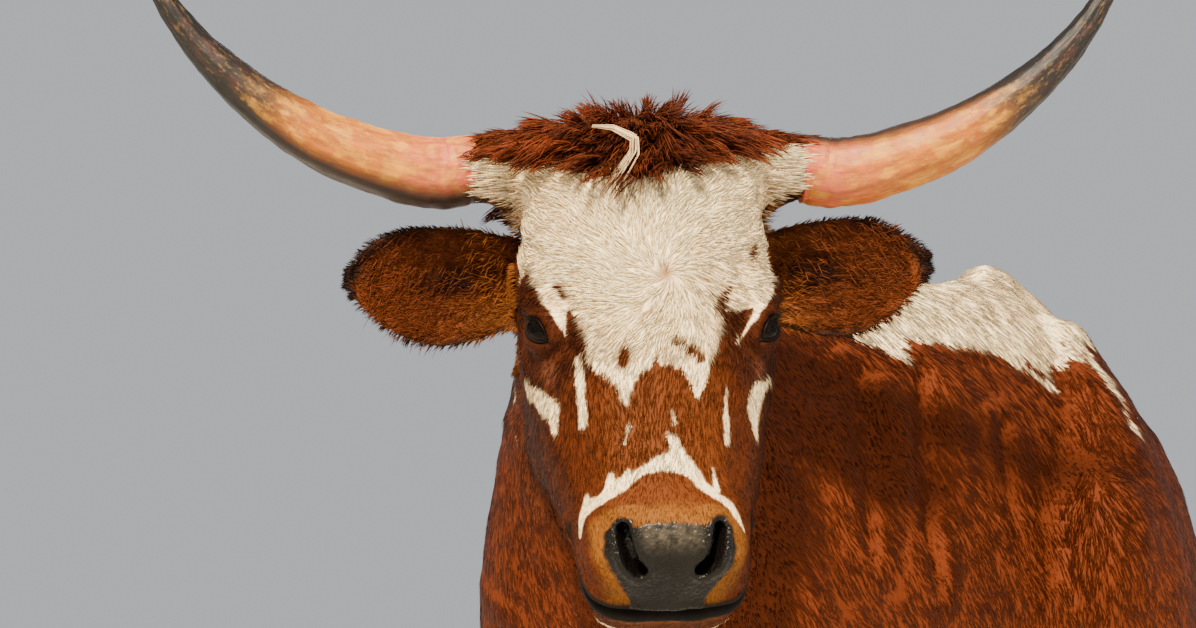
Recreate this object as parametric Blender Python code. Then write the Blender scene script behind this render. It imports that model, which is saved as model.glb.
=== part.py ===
"""A life-size beef steer of a long-horned breed, standing square, as a museum's still model.

The animal faces -Y and its left is +X. Its neck swings to its right and its head turns back
to look forward. Each sub-part is its own closed solid, with a thin gap where two of them meet.
"""

import math
import random

import bmesh
import bpy
import numpy as np
from mathutils import Matrix, Vector

# Driving dimensions, in metres and degrees
WITHERS_HEIGHT = 1.33
HEAD_YAW = 15.2
HEAD_ROLL = 1.2
FACE_PITCH = 68.0
POLL = Vector((-0.32, -1.057, 1.350))
EYE_RADIUS = 0.0205
HORN_BASE_RADIUS = 0.0345
EAR_LENGTH = 0.200
EAR_SWING = {1: 0.08, -1: -0.05}
EAR_HALF_WIDTH = 0.062
HOOF_HEIGHT = 0.062
CLAW_SPREAD = 0.0272
GAP = 0.0003

# How finely the flesh is rounded off, and how many triangles it keeps
BODY_VOXEL = 0.011
HEAD_VOXEL = 0.005
BODY_TRIANGLES = 4600
HEAD_TRIANGLES = 3200
RING_POINTS = 28
STEPS_PER_STATION = 4

# Stations of the trunk: y, top, widest level, bottom, half width, power above, power below
TRUNK = [
    (-0.615, 0.91, 0.84, 0.74, 0.055, 2.0, 2.0),
    (-0.585, 0.98, 0.85, 0.68, 0.115, 2.0, 2.0),
    (-0.52, 1.08, 0.87, 0.63, 0.162, 1.9, 2.0),
    (-0.44, 1.18, 0.88, 0.60, 0.190, 1.7, 2.0),
    (-0.35, 1.290, 0.89, 0.60, 0.212, 1.5, 2.0),
    (-0.28, WITHERS_HEIGHT, 0.89, 0.595, 0.228, 1.42, 2.1),
    (-0.18, 1.320, 0.89, 0.585, 0.246, 1.5, 2.1),
    (-0.05, 1.298, 0.89, 0.572, 0.268, 1.8, 2.2),
    (0.10, 1.288, 0.88, 0.560, 0.285, 2.0, 2.3),
    (0.25, 1.288, 0.88, 0.565, 0.287, 2.1, 2.3),
    (0.38, 1.294, 0.92, 0.605, 0.266, 2.1, 2.2),
    (0.48, 1.298, 0.98, 0.665, 0.236, 2.0, 2.1),
    (0.60, 1.296, 1.00, 0.735, 0.215, 1.9, 2.0),
    (0.72, 1.286, 1.02, 0.790, 0.190, 1.9, 2.0),
    (0.82, 1.258, 1.05, 0.860, 0.148, 1.9, 2.0),
    (0.885, 1.200, 1.08, 0.960, 0.085, 2.0, 2.0),
]

# Stations of the neck: x, y, top, widest level, bottom, half width, power above, power below
NECK = [
    (0.000, -0.28, 1.300, 0.94, 0.66, 0.180, 1.8, 2.0),
    (-0.025, -0.40, 1.285, 0.92, 0.64, 0.186, 1.7, 2.0),
    (-0.095, -0.51, 1.268, 0.89, 0.62, 0.190, 1.7, 2.0),
    (-0.190, -0.61, 1.258, 0.86, 0.62, 0.194, 1.6, 1.9),
    (-0.282, -0.70, 1.258, 0.84, 0.645, 0.200, 1.5, 1.8),
    (-0.350, -0.79, 1.268, 0.81, 0.670, 0.204, 1.5, 1.8),
    (-0.372, -0.875, 1.290, 0.86, 0.740, 0.160, 1.5, 1.8),
    (-0.366, -0.945, 1.310, 1.01, 0.850, 0.114, 1.8, 2.0),
    (-0.352, -1.000, 1.320, 1.10, 0.940, 0.090, 2.0, 2.0),
]

# Stations of the head, along the face from the poll: place, front, widest level, back,
# half width, power in front, power behind
HEAD = [
    (-0.022, -0.050, -0.070, -0.105, 0.050, 2.2, 2.2),
    (-0.006, -0.022, -0.070, -0.130, 0.092, 2.3, 2.2),
    (0.030, 0.002, -0.070, -0.160, 0.113, 2.6, 2.1),
    (0.080, 0.016, -0.068, -0.190, 0.121, 2.7, 2.0),
    (0.135, 0.020, -0.072, -0.222, 0.125, 2.5, 1.9),
    (0.185, 0.016, -0.080, -0.246, 0.129, 2.2, 1.9),
    (0.225, 0.010, -0.086, -0.258, 0.129, 2.1, 1.9),
    (0.265, 0.004, -0.100, -0.254, 0.123, 2.0, 2.0),
    (0.305, -0.001, -0.108, -0.232, 0.114, 2.0, 2.1),
    (0.345, -0.003, -0.104, -0.202, 0.104, 2.0, 2.2),
    (0.385, -0.002, -0.092, -0.176, 0.094, 2.1, 2.3),
    (0.420, 0.002, -0.078, -0.162, 0.087, 2.3, 2.4),
    (0.447, 0.004, -0.068, -0.156, 0.083, 2.5, 2.4),
    (0.466, -0.008, -0.068, -0.152, 0.081, 2.7, 2.4),
    (0.482, -0.032, -0.076, -0.147, 0.077, 2.8, 2.4),
    (0.496, -0.060, -0.092, -0.140, 0.069, 2.6, 2.4),
    (0.508, -0.088, -0.106, -0.126, 0.046, 2.2, 2.2),
]

# Stations of a left leg: x, y, z of its middle, half width across, half length fore and aft
FORELEG = [
    (0.085, -0.300, 1.240, 0.030, 0.070),
    (0.118, -0.350, 1.120, 0.064, 0.125),
    (0.148, -0.405, 0.980, 0.080, 0.148),
    (0.164, -0.425, 0.860, 0.084, 0.143),
    (0.170, -0.395, 0.750, 0.076, 0.118),
    (0.170, -0.372, 0.650, 0.063, 0.088),
    (0.165, -0.375, 0.550, 0.050, 0.062),
    (0.160, -0.385, 0.455, 0.042, 0.047),
    (0.158, -0.392, 0.395, 0.047, 0.051),
    (0.157, -0.388, 0.335, 0.038, 0.041),
    (0.157, -0.385, 0.250, 0.029, 0.034),
    (0.157, -0.385, 0.175, 0.030, 0.036),
    (0.157, -0.390, 0.128, 0.039, 0.044),
    (0.157, -0.408, 0.090, 0.037, 0.041),
    (0.157, -0.424, 0.062, 0.048, 0.055),
    (0.157, -0.426, 0.030, 0.045, 0.052),
]
HINDLEG = [
    (0.110, 0.560, 1.200, 0.050, 0.120),
    (0.150, 0.600, 1.080, 0.085, 0.200),
    (0.175, 0.610, 0.950, 0.098, 0.228),
    (0.185, 0.600, 0.820, 0.096, 0.205),
    (0.186, 0.610, 0.710, 0.082, 0.155),
    (0.178, 0.660, 0.610, 0.061, 0.104),
    (0.168, 0.725, 0.525, 0.044, 0.068),
    (0.162, 0.765, 0.455, 0.042, 0.058),
    (0.160, 0.765, 0.395, 0.037, 0.050),
    (0.160, 0.750, 0.310, 0.030, 0.038),
    (0.160, 0.738, 0.200, 0.030, 0.037),
    (0.160, 0.728, 0.132, 0.038, 0.044),
    (0.160, 0.706, 0.092, 0.036, 0.041),
    (0.160, 0.690, 0.062, 0.046, 0.053),
    (0.160, 0.688, 0.030, 0.043, 0.050),
]
HAMSTRING = [
    (0.168, 0.740, 0.860, 0.034, 0.070),
    (0.166, 0.762, 0.720, 0.028, 0.040),
    (0.163, 0.784, 0.600, 0.020, 0.025),
    (0.161, 0.803, 0.515, 0.023, 0.027),
    (0.160, 0.792, 0.450, 0.026, 0.032),
]

# How far each foot stands ahead (-) or behind (+) its leg's station, below this height
LEG_STEP = {"fore_left": -0.055, "fore_right": 0.045, "hind_left": 0.030, "hind_right": -0.060}
STEP_FROM = {"fore": 0.72, "hind": 0.78}

# The dewclaws behind each fetlock
DEWCLAW_HEIGHT = 0.110
DEWCLAW_SPREAD = 0.019
DEWCLAW_RADII = (0.012, 0.014, 0.018)

# The outline of the block that parts the head from the neck, seen from the side: ahead of the
# poll and above it, behind the nape and below the jaw
HEAD_BLOCK = [(-0.140, 0.350), (-0.185, -0.325), (0.500, -0.980), (0.500, 0.350)]
HEAD_BLOCK_REACH = 0.60

# The plane that parts the neck from the trunk
NECK_CUT_PLACE = (-0.03, -0.525, 1.00)
NECK_CUT_WAY = (-0.50, -0.72, 0.48)

# The block that parts a left leg from the trunk: inner and outer x, front and back y,
# top at its inner side and at its outer side
LEG_BLOCK = {
    "fore": (0.078, 0.40, -0.585, -0.262, 0.610, 0.870),
    "hind": (0.035, 0.40, 0.40, 1.00, 0.760, 1.060),
}

# Bulges of muscle and bone on the trunk, left side: centre, radii
TRUNK_BULGES = [
    ((0.132, -0.515, 0.915), (0.072, 0.090, 0.130)),
    ((0.143, 0.470, 1.185), (0.052, 0.110, 0.068)),
    ((0.076, 0.822, 1.140), (0.052, 0.060, 0.070)),
    ((0.118, 0.715, 0.980), (0.100, 0.135, 0.200)),
]
# Bulges on the middle line: the brisket, the sheath and the root of the tail
MIDDLE_BULGES = [
    ((0.0, -0.545, 0.700), (0.080, 0.105, 0.100)),
    ((0.0, 0.190, 0.575), (0.035, 0.115, 0.048)),
    ((0.0, 0.845, 1.245), (0.042, 0.070, 0.040)),
]
# The loose skin of the throat and brisket: x, y, z of its lower edge
DEWLAP = [
    (-0.335, -0.900, 0.925),
    (-0.285, -0.830, 0.860),
    (-0.205, -0.755, 0.790),
    (-0.115, -0.690, 0.715),
    (-0.045, -0.650, 0.650),
    (0.000, -0.600, 0.610),
    (0.000, -0.500, 0.595),
]
DEWLAP_HALF_WIDTH = 0.030
DEWLAP_DEPTH = 0.130

# Bulges on the left side of the head, in the head's own frame: centre, radii
HEAD_BULGES = [
    ((0.096, -0.038, 0.188), (0.036, 0.030, 0.036)),
    ((0.082, -0.165, 0.258), (0.040, 0.070, 0.080)),
    ((0.047, -0.060, 0.452), (0.035, 0.050, 0.042)),
    ((0.105, -0.100, 0.130), (0.026, 0.045, 0.045)),
]
CHIN = ((0.0, -0.126, 0.455), (0.048, 0.032, 0.048))
# The hair-covered root that each horn stands on: reach to the side, level, place, radius at
# its end and how much thicker it is at the middle of the head
HORN_BAR = (0.184, -0.058, 0.025, 0.0365, 0.028)
LOWER_LIP = ((0.0, -0.110, 0.484), (0.044, 0.020, 0.020))

EYE_PLACE = Vector((0.1020, -0.038, 0.224))
EYE_AXIS = Vector((0.70, 0.71, 0.02))
LID_HALF_LENGTH = 0.0205
LID_HALF_HEIGHT = 0.0125
LID_THICKNESS = 0.0048

NOSTRIL_PLACE = Vector((0.0385, -0.022, 0.467))
NOSTRIL_RADII = (0.0075, 0.0150, 0.0185)
NOSTRIL_SLANT = -33.0
MOUTH_LEVEL = -0.079
MOUTH_CORNER = 0.395
MOUTH_FRONT = 0.500
MOUTH_HALF_THICKNESS = 0.0022
LIP_DEPTH = 0.010

# The left horn's line in a frame that turns with the head but stays upright:
# out to the side, forward, up, and the horn's radius there
HORN_ROOT = 0.176
HORN = [
    (HORN_ROOT + GAP, -0.044, -0.043, HORN_BASE_RADIUS),
    (0.200, -0.043, -0.047, 0.0355),
    (0.244, -0.036, -0.041, 0.0343),
    (0.315, -0.024, -0.0175, 0.0306),
    (0.379, -0.010, 0.020, 0.0240),
    (0.430, 0.002, 0.064, 0.0170),
    (0.467, 0.011, 0.110, 0.0115),
    (0.489, 0.016, 0.151, 0.0072),
    (0.500, 0.018, 0.188, 0.0030),
]

# The left ear's stations along its length: share of the length, half width as a share of
# the widest, how far its middle sags, depth of the cup
EAR = [
    (0.00, 0.55, 0.000, 0.0300),
    (0.12, 0.68, 0.000, 0.0340),
    (0.25, 0.82, 0.000, 0.0340),
    (0.40, 0.95, 0.001, 0.0300),
    (0.58, 1.00, 0.001, 0.0240),
    (0.70, 0.94, -0.002, 0.0190),
    (0.80, 0.80, -0.005, 0.0140),
    (0.90, 0.56, -0.008, 0.0080),
    (0.97, 0.30, -0.011, 0.0050),
    (1.00, 0.12, -0.0125, 0.0025),
]
EAR_ROOT = Vector((0.104, -0.112, 0.120))
EAR_THICKNESS = 0.0085

# The tail's line: y, z, radius; it starts inside the rump
TAIL = [
    (0.815, 1.225, 0.036),
    (0.880, 1.215, 0.034),
    (0.925, 1.165, 0.029),
    (0.945, 1.080, 0.024),
    (0.952, 0.950, 0.019),
    (0.955, 0.800, 0.016),
    (0.957, 0.660, 0.014),
    (0.958, 0.560, 0.012),
]

# The tail's switch: how many locks, where their roots start and over what height they are
# spread, how low the tips reach, and the locks' width and thickness
SWITCH_LOCKS = 26
SWITCH_TOP = 0.680
SWITCH_SPAN = 0.120
SWITCH_END = 0.270
SWITCH_WIDTH = 0.027
SWITCH_THICKNESS = 0.010
SWITCH_SEED = 11
GOLDEN_ANGLE = math.radians(137.5)

# Rows of locks of the poll's tuft, from the nape to the brow: how many, how far they reach to
# each side, where they stand in the head's frame (out of the face, down the face), which way
# they lie (out, down) and their length
TUFT_ROWS = [
    (9, 0.125, -0.112, -0.005, -0.50, -0.60, 0.055),
    (11, 0.150, -0.085, -0.015, -0.10, -0.90, 0.060),
    (12, 0.155, -0.050, -0.010, 0.45, -0.70, 0.062),
    (11, 0.145, -0.018, 0.008, 0.75, 0.35, 0.060),
    (8, 0.100, 0.000, 0.030, 0.40, 0.90, 0.058),
]
TUFT_SPREAD = 1.0
TUFT_DROP = 0.030
TUFT_WIDTH = 0.034
TUFT_THICKNESS = 0.0080
TUFT_ROOT_DEPTH = 0.007
TUFT_LIFT = 0.38
TUFT_SEED = 7

# A lock's shape: shares of its length, from below its root, and its width there
LOCK_SHAPE = [(-0.15, 0.75), (0.25, 1.0), (0.60, 0.80), (0.85, 0.42)]

SKIN_RED = (0.26, 0.075, 0.028, 1.0)
HAIR_WHITE = (0.72, 0.62, 0.50, 1.0)
HORN_STRAW = (0.62, 0.36, 0.16, 1.0)
EYE_DARK = (0.012, 0.008, 0.006, 1.0)
HOOF_DARK = (0.045, 0.032, 0.024, 1.0)


def material(name, colour, roughness):
    """A plain Principled finish."""
    made = bpy.data.materials.new(name)
    made.use_nodes = True
    shader = made.node_tree.nodes["Principled BSDF"]
    shader.inputs["Base Color"].default_value = colour
    shader.inputs["Roughness"].default_value = roughness
    shader.inputs["Metallic"].default_value = 0.0
    return made


def add_mesh(name, points, faces):
    """A new object from points and faces, with its faces pointing out."""
    mesh = bpy.data.meshes.new(name)
    mesh.from_pydata([tuple(p) for p in points], [], faces)
    bm = bmesh.new()
    bm.from_mesh(mesh)
    bmesh.ops.recalc_face_normals(bm, faces=bm.faces)
    bm.to_mesh(mesh)
    bm.free()
    made = bpy.data.objects.new(name, mesh)
    bpy.context.scene.collection.objects.link(made)
    return made


def remove(objects):
    """Takes objects and their meshes out of the file."""
    for item in objects:
        bpy.data.objects.remove(item)


def settle(item):
    """Applies the item's modifiers."""
    bpy.context.view_layer.update()
    graph = bpy.context.evaluated_depsgraph_get()
    mesh = bpy.data.meshes.new_from_object(item.evaluated_get(graph))
    item.modifiers.clear()
    item.data = mesh
    return item


def smooth_rows(rows, steps=STEPS_PER_STATION):
    """The stations joined by a smooth curve, read at a few places between each two."""
    given = np.array(rows, float)
    ends = np.vstack([2 * given[0] - given[1], given, 2 * given[-1] - given[-2]])
    found = []
    for a, b, c, d in zip(ends, ends[1:], ends[2:], ends[3:]):
        for k in range(steps):
            t = k / steps
            found.append(
                b + 0.5 * t * (c - a + t * (2 * a - 5 * b + 4 * c - d + t * (3 * b - a - 3 * c + d)))
            )
    found.append(given[-1])
    return np.array(found)


def oval(middle, side, up, half_width, rise, drop, power_up, power_down, count=RING_POINTS):
    """A ring of points, rounder or squarer above and below as the powers say."""
    ring = []
    for k in range(count):
        angle = 2 * math.pi * k / count
        across, height = math.sin(angle), math.cos(angle)
        power = 2 / (power_up if height > 0 else power_down)
        x = half_width * math.copysign(abs(across) ** power, across)
        z = (rise if height > 0 else drop) * math.copysign(abs(height) ** power, height)
        ring.append(middle + side * x + up * z)
    return ring


def loft(name, rings):
    """A closed solid through rings that have the same number of points."""
    count = len(rings[0])
    points = [p for ring in rings for p in ring]
    faces = [tuple(range(count)), tuple(range(len(points) - count, len(points)))]
    for start in range(0, len(points) - count, count):
        for k in range(count):
            other = (k + 1) % count
            faces.append((start + k, start + other, start + count + other, start + count + k))
    return add_mesh(name, points, faces)


def ball(name, centre, radii, frame=None, subdivisions=3):
    """An ellipsoid with its radii along the axes of a frame."""
    bm = bmesh.new()
    bmesh.ops.create_icosphere(bm, subdivisions=subdivisions, radius=1.0)
    shape = Matrix.Translation(centre) @ Matrix.Diagonal((*radii, 1.0))
    bm.transform((frame or Matrix.Identity(4)) @ shape)
    mesh = bpy.data.meshes.new(name)
    bm.to_mesh(mesh)
    bm.free()
    made = bpy.data.objects.new(name, mesh)
    bpy.context.scene.collection.objects.link(made)
    return made


def mirrored(place):
    """The same place on the animal's right."""
    return (-place[0], *place[1:])


def poll_frame():
    """The poll's axes, which turn and tip with the head but don't nod: left, forward and up."""
    yaw, roll = math.radians(HEAD_YAW), math.radians(HEAD_ROLL)
    ahead = Vector((math.sin(yaw), -math.cos(yaw), 0.0))
    level = Vector((math.cos(yaw), math.sin(yaw), 0.0))
    left = level * math.cos(roll) + Vector((0, 0, math.sin(roll)))
    return Matrix.Translation(POLL) @ Matrix((left, ahead, ahead.cross(left))).transposed().to_4x4()


def head_frame():
    """The head's axes: left, out of the face, and down along the face, from the poll."""
    pitch = math.radians(FACE_PITCH)
    left, ahead, up = poll_frame().to_3x3().transposed()
    down_face = ahead * math.cos(pitch) - up * math.sin(pitch)
    out = ahead * math.sin(pitch) + up * math.cos(pitch)
    return Matrix.Translation(POLL) @ Matrix((left, out, down_face)).transposed().to_4x4()


def fused(name, pieces, solver="MANIFOLD"):
    """One solid from pieces that overlap."""
    first, others = pieces[0], pieces[1:]
    group = bpy.data.collections.new(name + "_pieces")
    bpy.context.scene.collection.children.link(group)
    for piece in others:
        group.objects.link(piece)
    join = first.modifiers.new("join", "BOOLEAN")
    join.operation = "UNION"
    join.operand_type = "COLLECTION"
    join.collection = group
    join.solver = solver
    settle(first)
    remove(others)
    bpy.data.collections.remove(group)
    first.name = name
    return first


def combined(item, other, operation, solver="EXACT"):
    """The item after one Boolean with the other, which is kept."""
    step = item.modifiers.new("step", "BOOLEAN")
    step.operation = operation
    step.object = other
    step.solver = solver
    return settle(item)


def rounded(name, pieces, voxel, passes, triangles):
    """Overlapping pieces grown into one smooth skin with about that many triangles."""
    bm = bmesh.new()
    for piece in pieces:
        bm.from_mesh(piece.data)
    mesh = bpy.data.meshes.new(name)
    bm.to_mesh(mesh)
    bm.free()
    remove(pieces)
    made = bpy.data.objects.new(name, mesh)
    bpy.context.scene.collection.objects.link(made)
    remesh = made.modifiers.new("skin", "REMESH")
    remesh.mode = "VOXEL"
    remesh.voxel_size = voxel
    smooth = made.modifiers.new("smooth", "SMOOTH")
    smooth.factor = 0.5
    smooth.iterations = passes
    settle(made)
    fewer = made.modifiers.new("fewer", "DECIMATE")
    fewer.ratio = triangles / (2 * len(made.data.polygons))
    settle(made)
    return largest(made)


def largest(item):
    """Keeps the item's largest closed surface, as triangles."""
    bm = bmesh.new()
    bm.from_mesh(item.data)
    bmesh.ops.remove_doubles(bm, verts=bm.verts, dist=1e-6)
    left, shells = set(bm.verts), []
    while left:
        shell, edge = set(), [left.pop()]
        while edge:
            vertex = edge.pop()
            shell.add(vertex)
            for link in vertex.link_edges:
                other = link.other_vert(vertex)
                if other in left:
                    left.discard(other)
                    edge.append(other)
        shells.append(shell)
    shells.sort(key=len)
    loose = [v for shell in shells[:-1] for v in shell]
    bmesh.ops.delete(bm, geom=loose, context="VERTS")
    bmesh.ops.triangulate(bm, faces=bm.faces)
    bm.to_mesh(item.data)
    bm.free()
    return item


def copied(item, name):
    """A separate copy of an item."""
    made = bpy.data.objects.new(name, item.data.copy())
    bpy.context.scene.collection.objects.link(made)
    return made


def swollen(item, amount):
    """A copy whose surface stands out by an amount."""
    made = copied(item, item.name + "_swollen")
    push = made.modifiers.new("push", "DISPLACE")
    push.strength = amount
    push.mid_level = 0.0
    return settle(made)


def seated(item, host):
    """The item cut so that it meets its host face to face, with the thin gap."""
    cutter = swollen(host, GAP)
    combined(item, cutter, "DIFFERENCE", "MANIFOLD")
    remove([cutter])
    return largest(item)


def half(item, point, normal):
    """Keeps what lies on the side that the normal points away from, and closes the cut."""
    bm = bmesh.new()
    bm.from_mesh(item.data)
    cut = bmesh.ops.bisect_plane(
        bm,
        geom=bm.verts[:] + bm.edges[:] + bm.faces[:],
        dist=1e-6,
        plane_co=point,
        plane_no=normal,
        clear_outer=True,
    )
    rim = [e for e in cut["geom_cut"] if isinstance(e, bmesh.types.BMEdge)]
    filled = bmesh.ops.triangle_fill(bm, edges=rim, use_beauty=True)
    bmesh.ops.recalc_face_normals(bm, faces=bm.faces)
    del filled
    bm.to_mesh(item.data)
    bm.free()
    return item


def parted(whole, name, point, normal):
    """Splits a piece off the whole, on the side the normal points to, with the gap between."""
    piece = copied(whole, name)
    shift = normal.normalized() * GAP / 2
    half(piece, point + shift, -normal)
    half(whole, point - shift, normal)
    return piece


def trunk_pieces():
    """The trunk's own solid and the bulges of muscle and bone that lie on it."""
    side, up = Vector((1, 0, 0)), Vector((0, 0, 1))
    rings = [
        oval(Vector((0, y, wide)), side, up, half_width, top - wide, wide - bottom, above, below)
        for y, top, wide, bottom, half_width, above, below in smooth_rows(TRUNK)
    ]
    pieces = [loft("trunk", rings)]
    for centre, radii in TRUNK_BULGES:
        pieces += [ball("bulge", centre, radii), ball("bulge", mirrored(centre), radii)]
    pieces += [ball("bulge", centre, radii) for centre, radii in MIDDLE_BULGES]
    return pieces


def neck_pieces():
    """The neck along its bend, with the loose skin that hangs below it."""
    rows = smooth_rows(NECK)
    along = np.gradient(rows[:, :2], axis=0)
    up = Vector((0, 0, 1))
    rings = []
    for (x, y, top, wide, bottom, half_width, above, below), way in zip(rows, along):
        side = Vector((-way[1], way[0], 0)).normalized()
        middle = Vector((x, y, wide))
        rings.append(oval(middle, side, up, half_width, top - wide, wide - bottom, above, below))
    skin = smooth_rows(DEWLAP)
    along = np.gradient(skin, axis=0)
    folds = []
    for place, way in zip(skin, along):
        side = Vector((-way[1], way[0], 0)).normalized()
        middle = Vector(place) + up * DEWLAP_DEPTH
        folds.append(
            oval(middle, side, up, DEWLAP_HALF_WIDTH, DEWLAP_DEPTH, DEWLAP_DEPTH, 2.0, 2.0, 16)
        )
    return [loft("neck", rings), loft("dewlap", folds)]


def leg_rows(rows, step, side, start):
    """A leg's stations on one side, stepped ahead or behind below a height."""
    moved = smooth_rows(rows)
    below = np.clip(1 - moved[:, 2] / start, 0, 1)
    moved[:, 1] += step * below
    moved[:, 0] *= side
    return moved


def leg_piece(name, rows):
    """A leg's solid, of level rings."""
    side, fore = Vector((1, 0, 0)), Vector((0, 1, 0))
    rings = [
        oval(Vector((x, y, z)), side, fore, across, along, along, 2.2, 2.2, 20)
        for x, y, z, across, along in rows
    ]
    return loft(name, rings)


def legs():
    """For each leg: its name, side, stations, step and the height that it steps from."""
    for name, step in LEG_STEP.items():
        end, hand = name.split("_")
        side = 1 if hand == "left" else -1
        yield name, end, side, step, STEP_FROM[end]


def body_pieces():
    """All the flesh behind the head."""
    pieces = trunk_pieces() + neck_pieces()
    for name, end, side, step, start in legs():
        rows = leg_rows(FORELEG if end == "fore" else HINDLEG, step, side, start)
        pieces.append(leg_piece(name, rows))
        if end == "hind":
            pieces.append(leg_piece(name + "_tendon", leg_rows(HAMSTRING, step, side, start)))
        ankle = rows[np.argmin(abs(rows[:, 2] - DEWCLAW_HEIGHT))]
        for across in (-DEWCLAW_SPREAD, DEWCLAW_SPREAD):
            place = (ankle[0] + across, ankle[1] + ankle[4], DEWCLAW_HEIGHT)
            pieces.append(ball("dewclaw", place, DEWCLAW_RADII))
    return pieces


def head_pieces(frame):
    """The head's solid with its bulges, and a length of neck behind it."""
    axes = frame.to_3x3()
    side, out = axes @ Vector((1, 0, 0)), axes @ Vector((0, 1, 0))
    rings = []
    for place, front, wide, back, half_width, before, behind in smooth_rows(HEAD):
        middle = frame @ Vector((0, wide, place))
        rings.append(oval(middle, side, out, half_width, front - wide, wide - back, before, behind))
    pieces = [loft("skull", rings)]
    for centre, radii in HEAD_BULGES:
        pieces += [ball("bulge", centre, radii, frame), ball("bulge", mirrored(centre), radii, frame)]
    for centre, radii in (CHIN, LOWER_LIP):
        pieces.append(ball("bulge", centre, radii, frame))
    reach, level, place, end_radius, thicker = HORN_BAR
    bar = []
    for share in np.linspace(-1, 1, 17):
        radius = end_radius + thicker * (1 - abs(share))
        middle = frame @ Vector((share * reach, level, place))
        bar.append(oval(middle, out, axes @ Vector((0, 0, 1)), radius, radius, radius, 2, 2, 20))
    pieces.append(loft("horn_bar", bar))
    return pieces + neck_pieces()


def eye_frame(frame, side):
    """Axes at an eye: along the lids, across them, and out of the eye."""
    axes = frame.to_3x3()
    out = (axes @ Vector((EYE_AXIS.x * side, EYE_AXIS.y, EYE_AXIS.z))).normalized()
    down = axes @ Vector((0, -0.35, 1.0))
    along = (down - out * down.dot(out)).normalized()
    along = (along + out.cross(along) * 0.55 * side).normalized()
    across = out.cross(along)
    place = frame @ Vector((EYE_PLACE.x * side, EYE_PLACE.y, EYE_PLACE.z))
    return Matrix.Translation(place) @ Matrix((along, across, out)).transposed().to_4x4()


def lid_ring(frame, side):
    """The upper and lower lid as one almond-shaped ring that hugs the eye."""
    axes = eye_frame(frame, side)
    rings = []
    count = 20
    for k in range(count):
        angle = 2 * math.pi * k / count
        flat = Vector((LID_HALF_LENGTH * math.cos(angle), LID_HALF_HEIGHT * math.sin(angle), 0))
        height = math.sqrt(max(EYE_RADIUS**2 - flat.length_squared, 0.0)) * 0.9
        middle = flat + Vector((0, 0, height))
        out = Vector((math.cos(angle), math.sin(angle), 0))
        lift = Vector((0, 0, 1))
        ring = []
        for j in range(6):
            turn = 2 * math.pi * j / 6
            ring.append(
                axes @ (middle + (out * math.cos(turn) + lift * math.sin(turn)) * LID_THICKNESS)
            )
        rings.append(ring)
    points = [p for ring in rings for p in ring]
    faces = []
    for a in range(count):
        b = (a + 1) % count
        for j in range(6):
            n = (j + 1) % 6
            faces.append((a * 6 + j, a * 6 + n, b * 6 + n, b * 6 + j))
    return add_mesh("lids", points, faces)


def mouth_cutter(frame):
    """A thin band round the muzzle that opens the line between the lips."""
    outer, inner = [], []
    for share in np.linspace(-1, 1, 19):
        angle = share * math.pi / 2
        across, ahead = math.sin(angle), math.cos(angle)
        reach = MOUTH_FRONT - MOUTH_CORNER
        inner.append((across * 0.060, MOUTH_CORNER + ahead**0.75 * (reach - LIP_DEPTH)))
        outer.append((across * 0.120, MOUTH_CORNER - 0.004 + ahead**0.75 * (reach + 0.06)))
    rings = []
    for (ax, ad), (bx, bd) in zip(inner, outer):
        level = MOUTH_LEVEL - 0.10 * (MOUTH_FRONT - ad) * 0.9
        rings.append(
            [
                frame @ Vector((x, level + rise, d))
                for x, d, rise in (
                    (ax, ad, MOUTH_HALF_THICKNESS * 0.5),
                    (bx, bd, MOUTH_HALF_THICKNESS * 1.6),
                    (bx, bd, -MOUTH_HALF_THICKNESS * 1.6),
                    (ax, ad, -MOUTH_HALF_THICKNESS * 0.5),
                )
            ]
        )
    return loft("mouth", rings)


def nostril_cutter(frame, side):
    """A slanted oval pit in the side of the nose pad."""
    slant = Matrix.Rotation(math.radians(NOSTRIL_SLANT * side), 4, "Y")
    place = Vector((NOSTRIL_PLACE.x * side, NOSTRIL_PLACE.y, NOSTRIL_PLACE.z))
    return ball("nostril", (0, 0, 0), NOSTRIL_RADII, frame @ Matrix.Translation(place) @ slant, 2)


def lock(name, root, way, bend, length, width, thickness):
    """A flat tapered lock that bends towards one side along its length, as a closed solid."""
    side = way.cross(bend).normalized()
    face = way.cross(side).normalized()
    rings = []
    for share, wide in LOCK_SHAPE:
        middle = root + way * length * share + bend * length * max(share, 0) ** 2
        across, through = side * width * wide / 2, face * thickness * wide / 2
        rings.append([middle + across, middle + through, middle - across, middle - through])
    points = [p for ring in rings for p in ring] + [root + way * length + bend * length]
    tip = len(points) - 1
    faces = [(0, 1, 2, 3)]
    for start in range(0, tip - 4, 4):
        for k in range(4):
            other = (k + 1) % 4
            faces.append((start + k, start + other, start + 4 + other, start + 4 + k))
    faces += [(tip - 4 + k, tip - 4 + (k + 1) % 4, tip) for k in range(4)]
    return add_mesh(name, points, faces)


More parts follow.
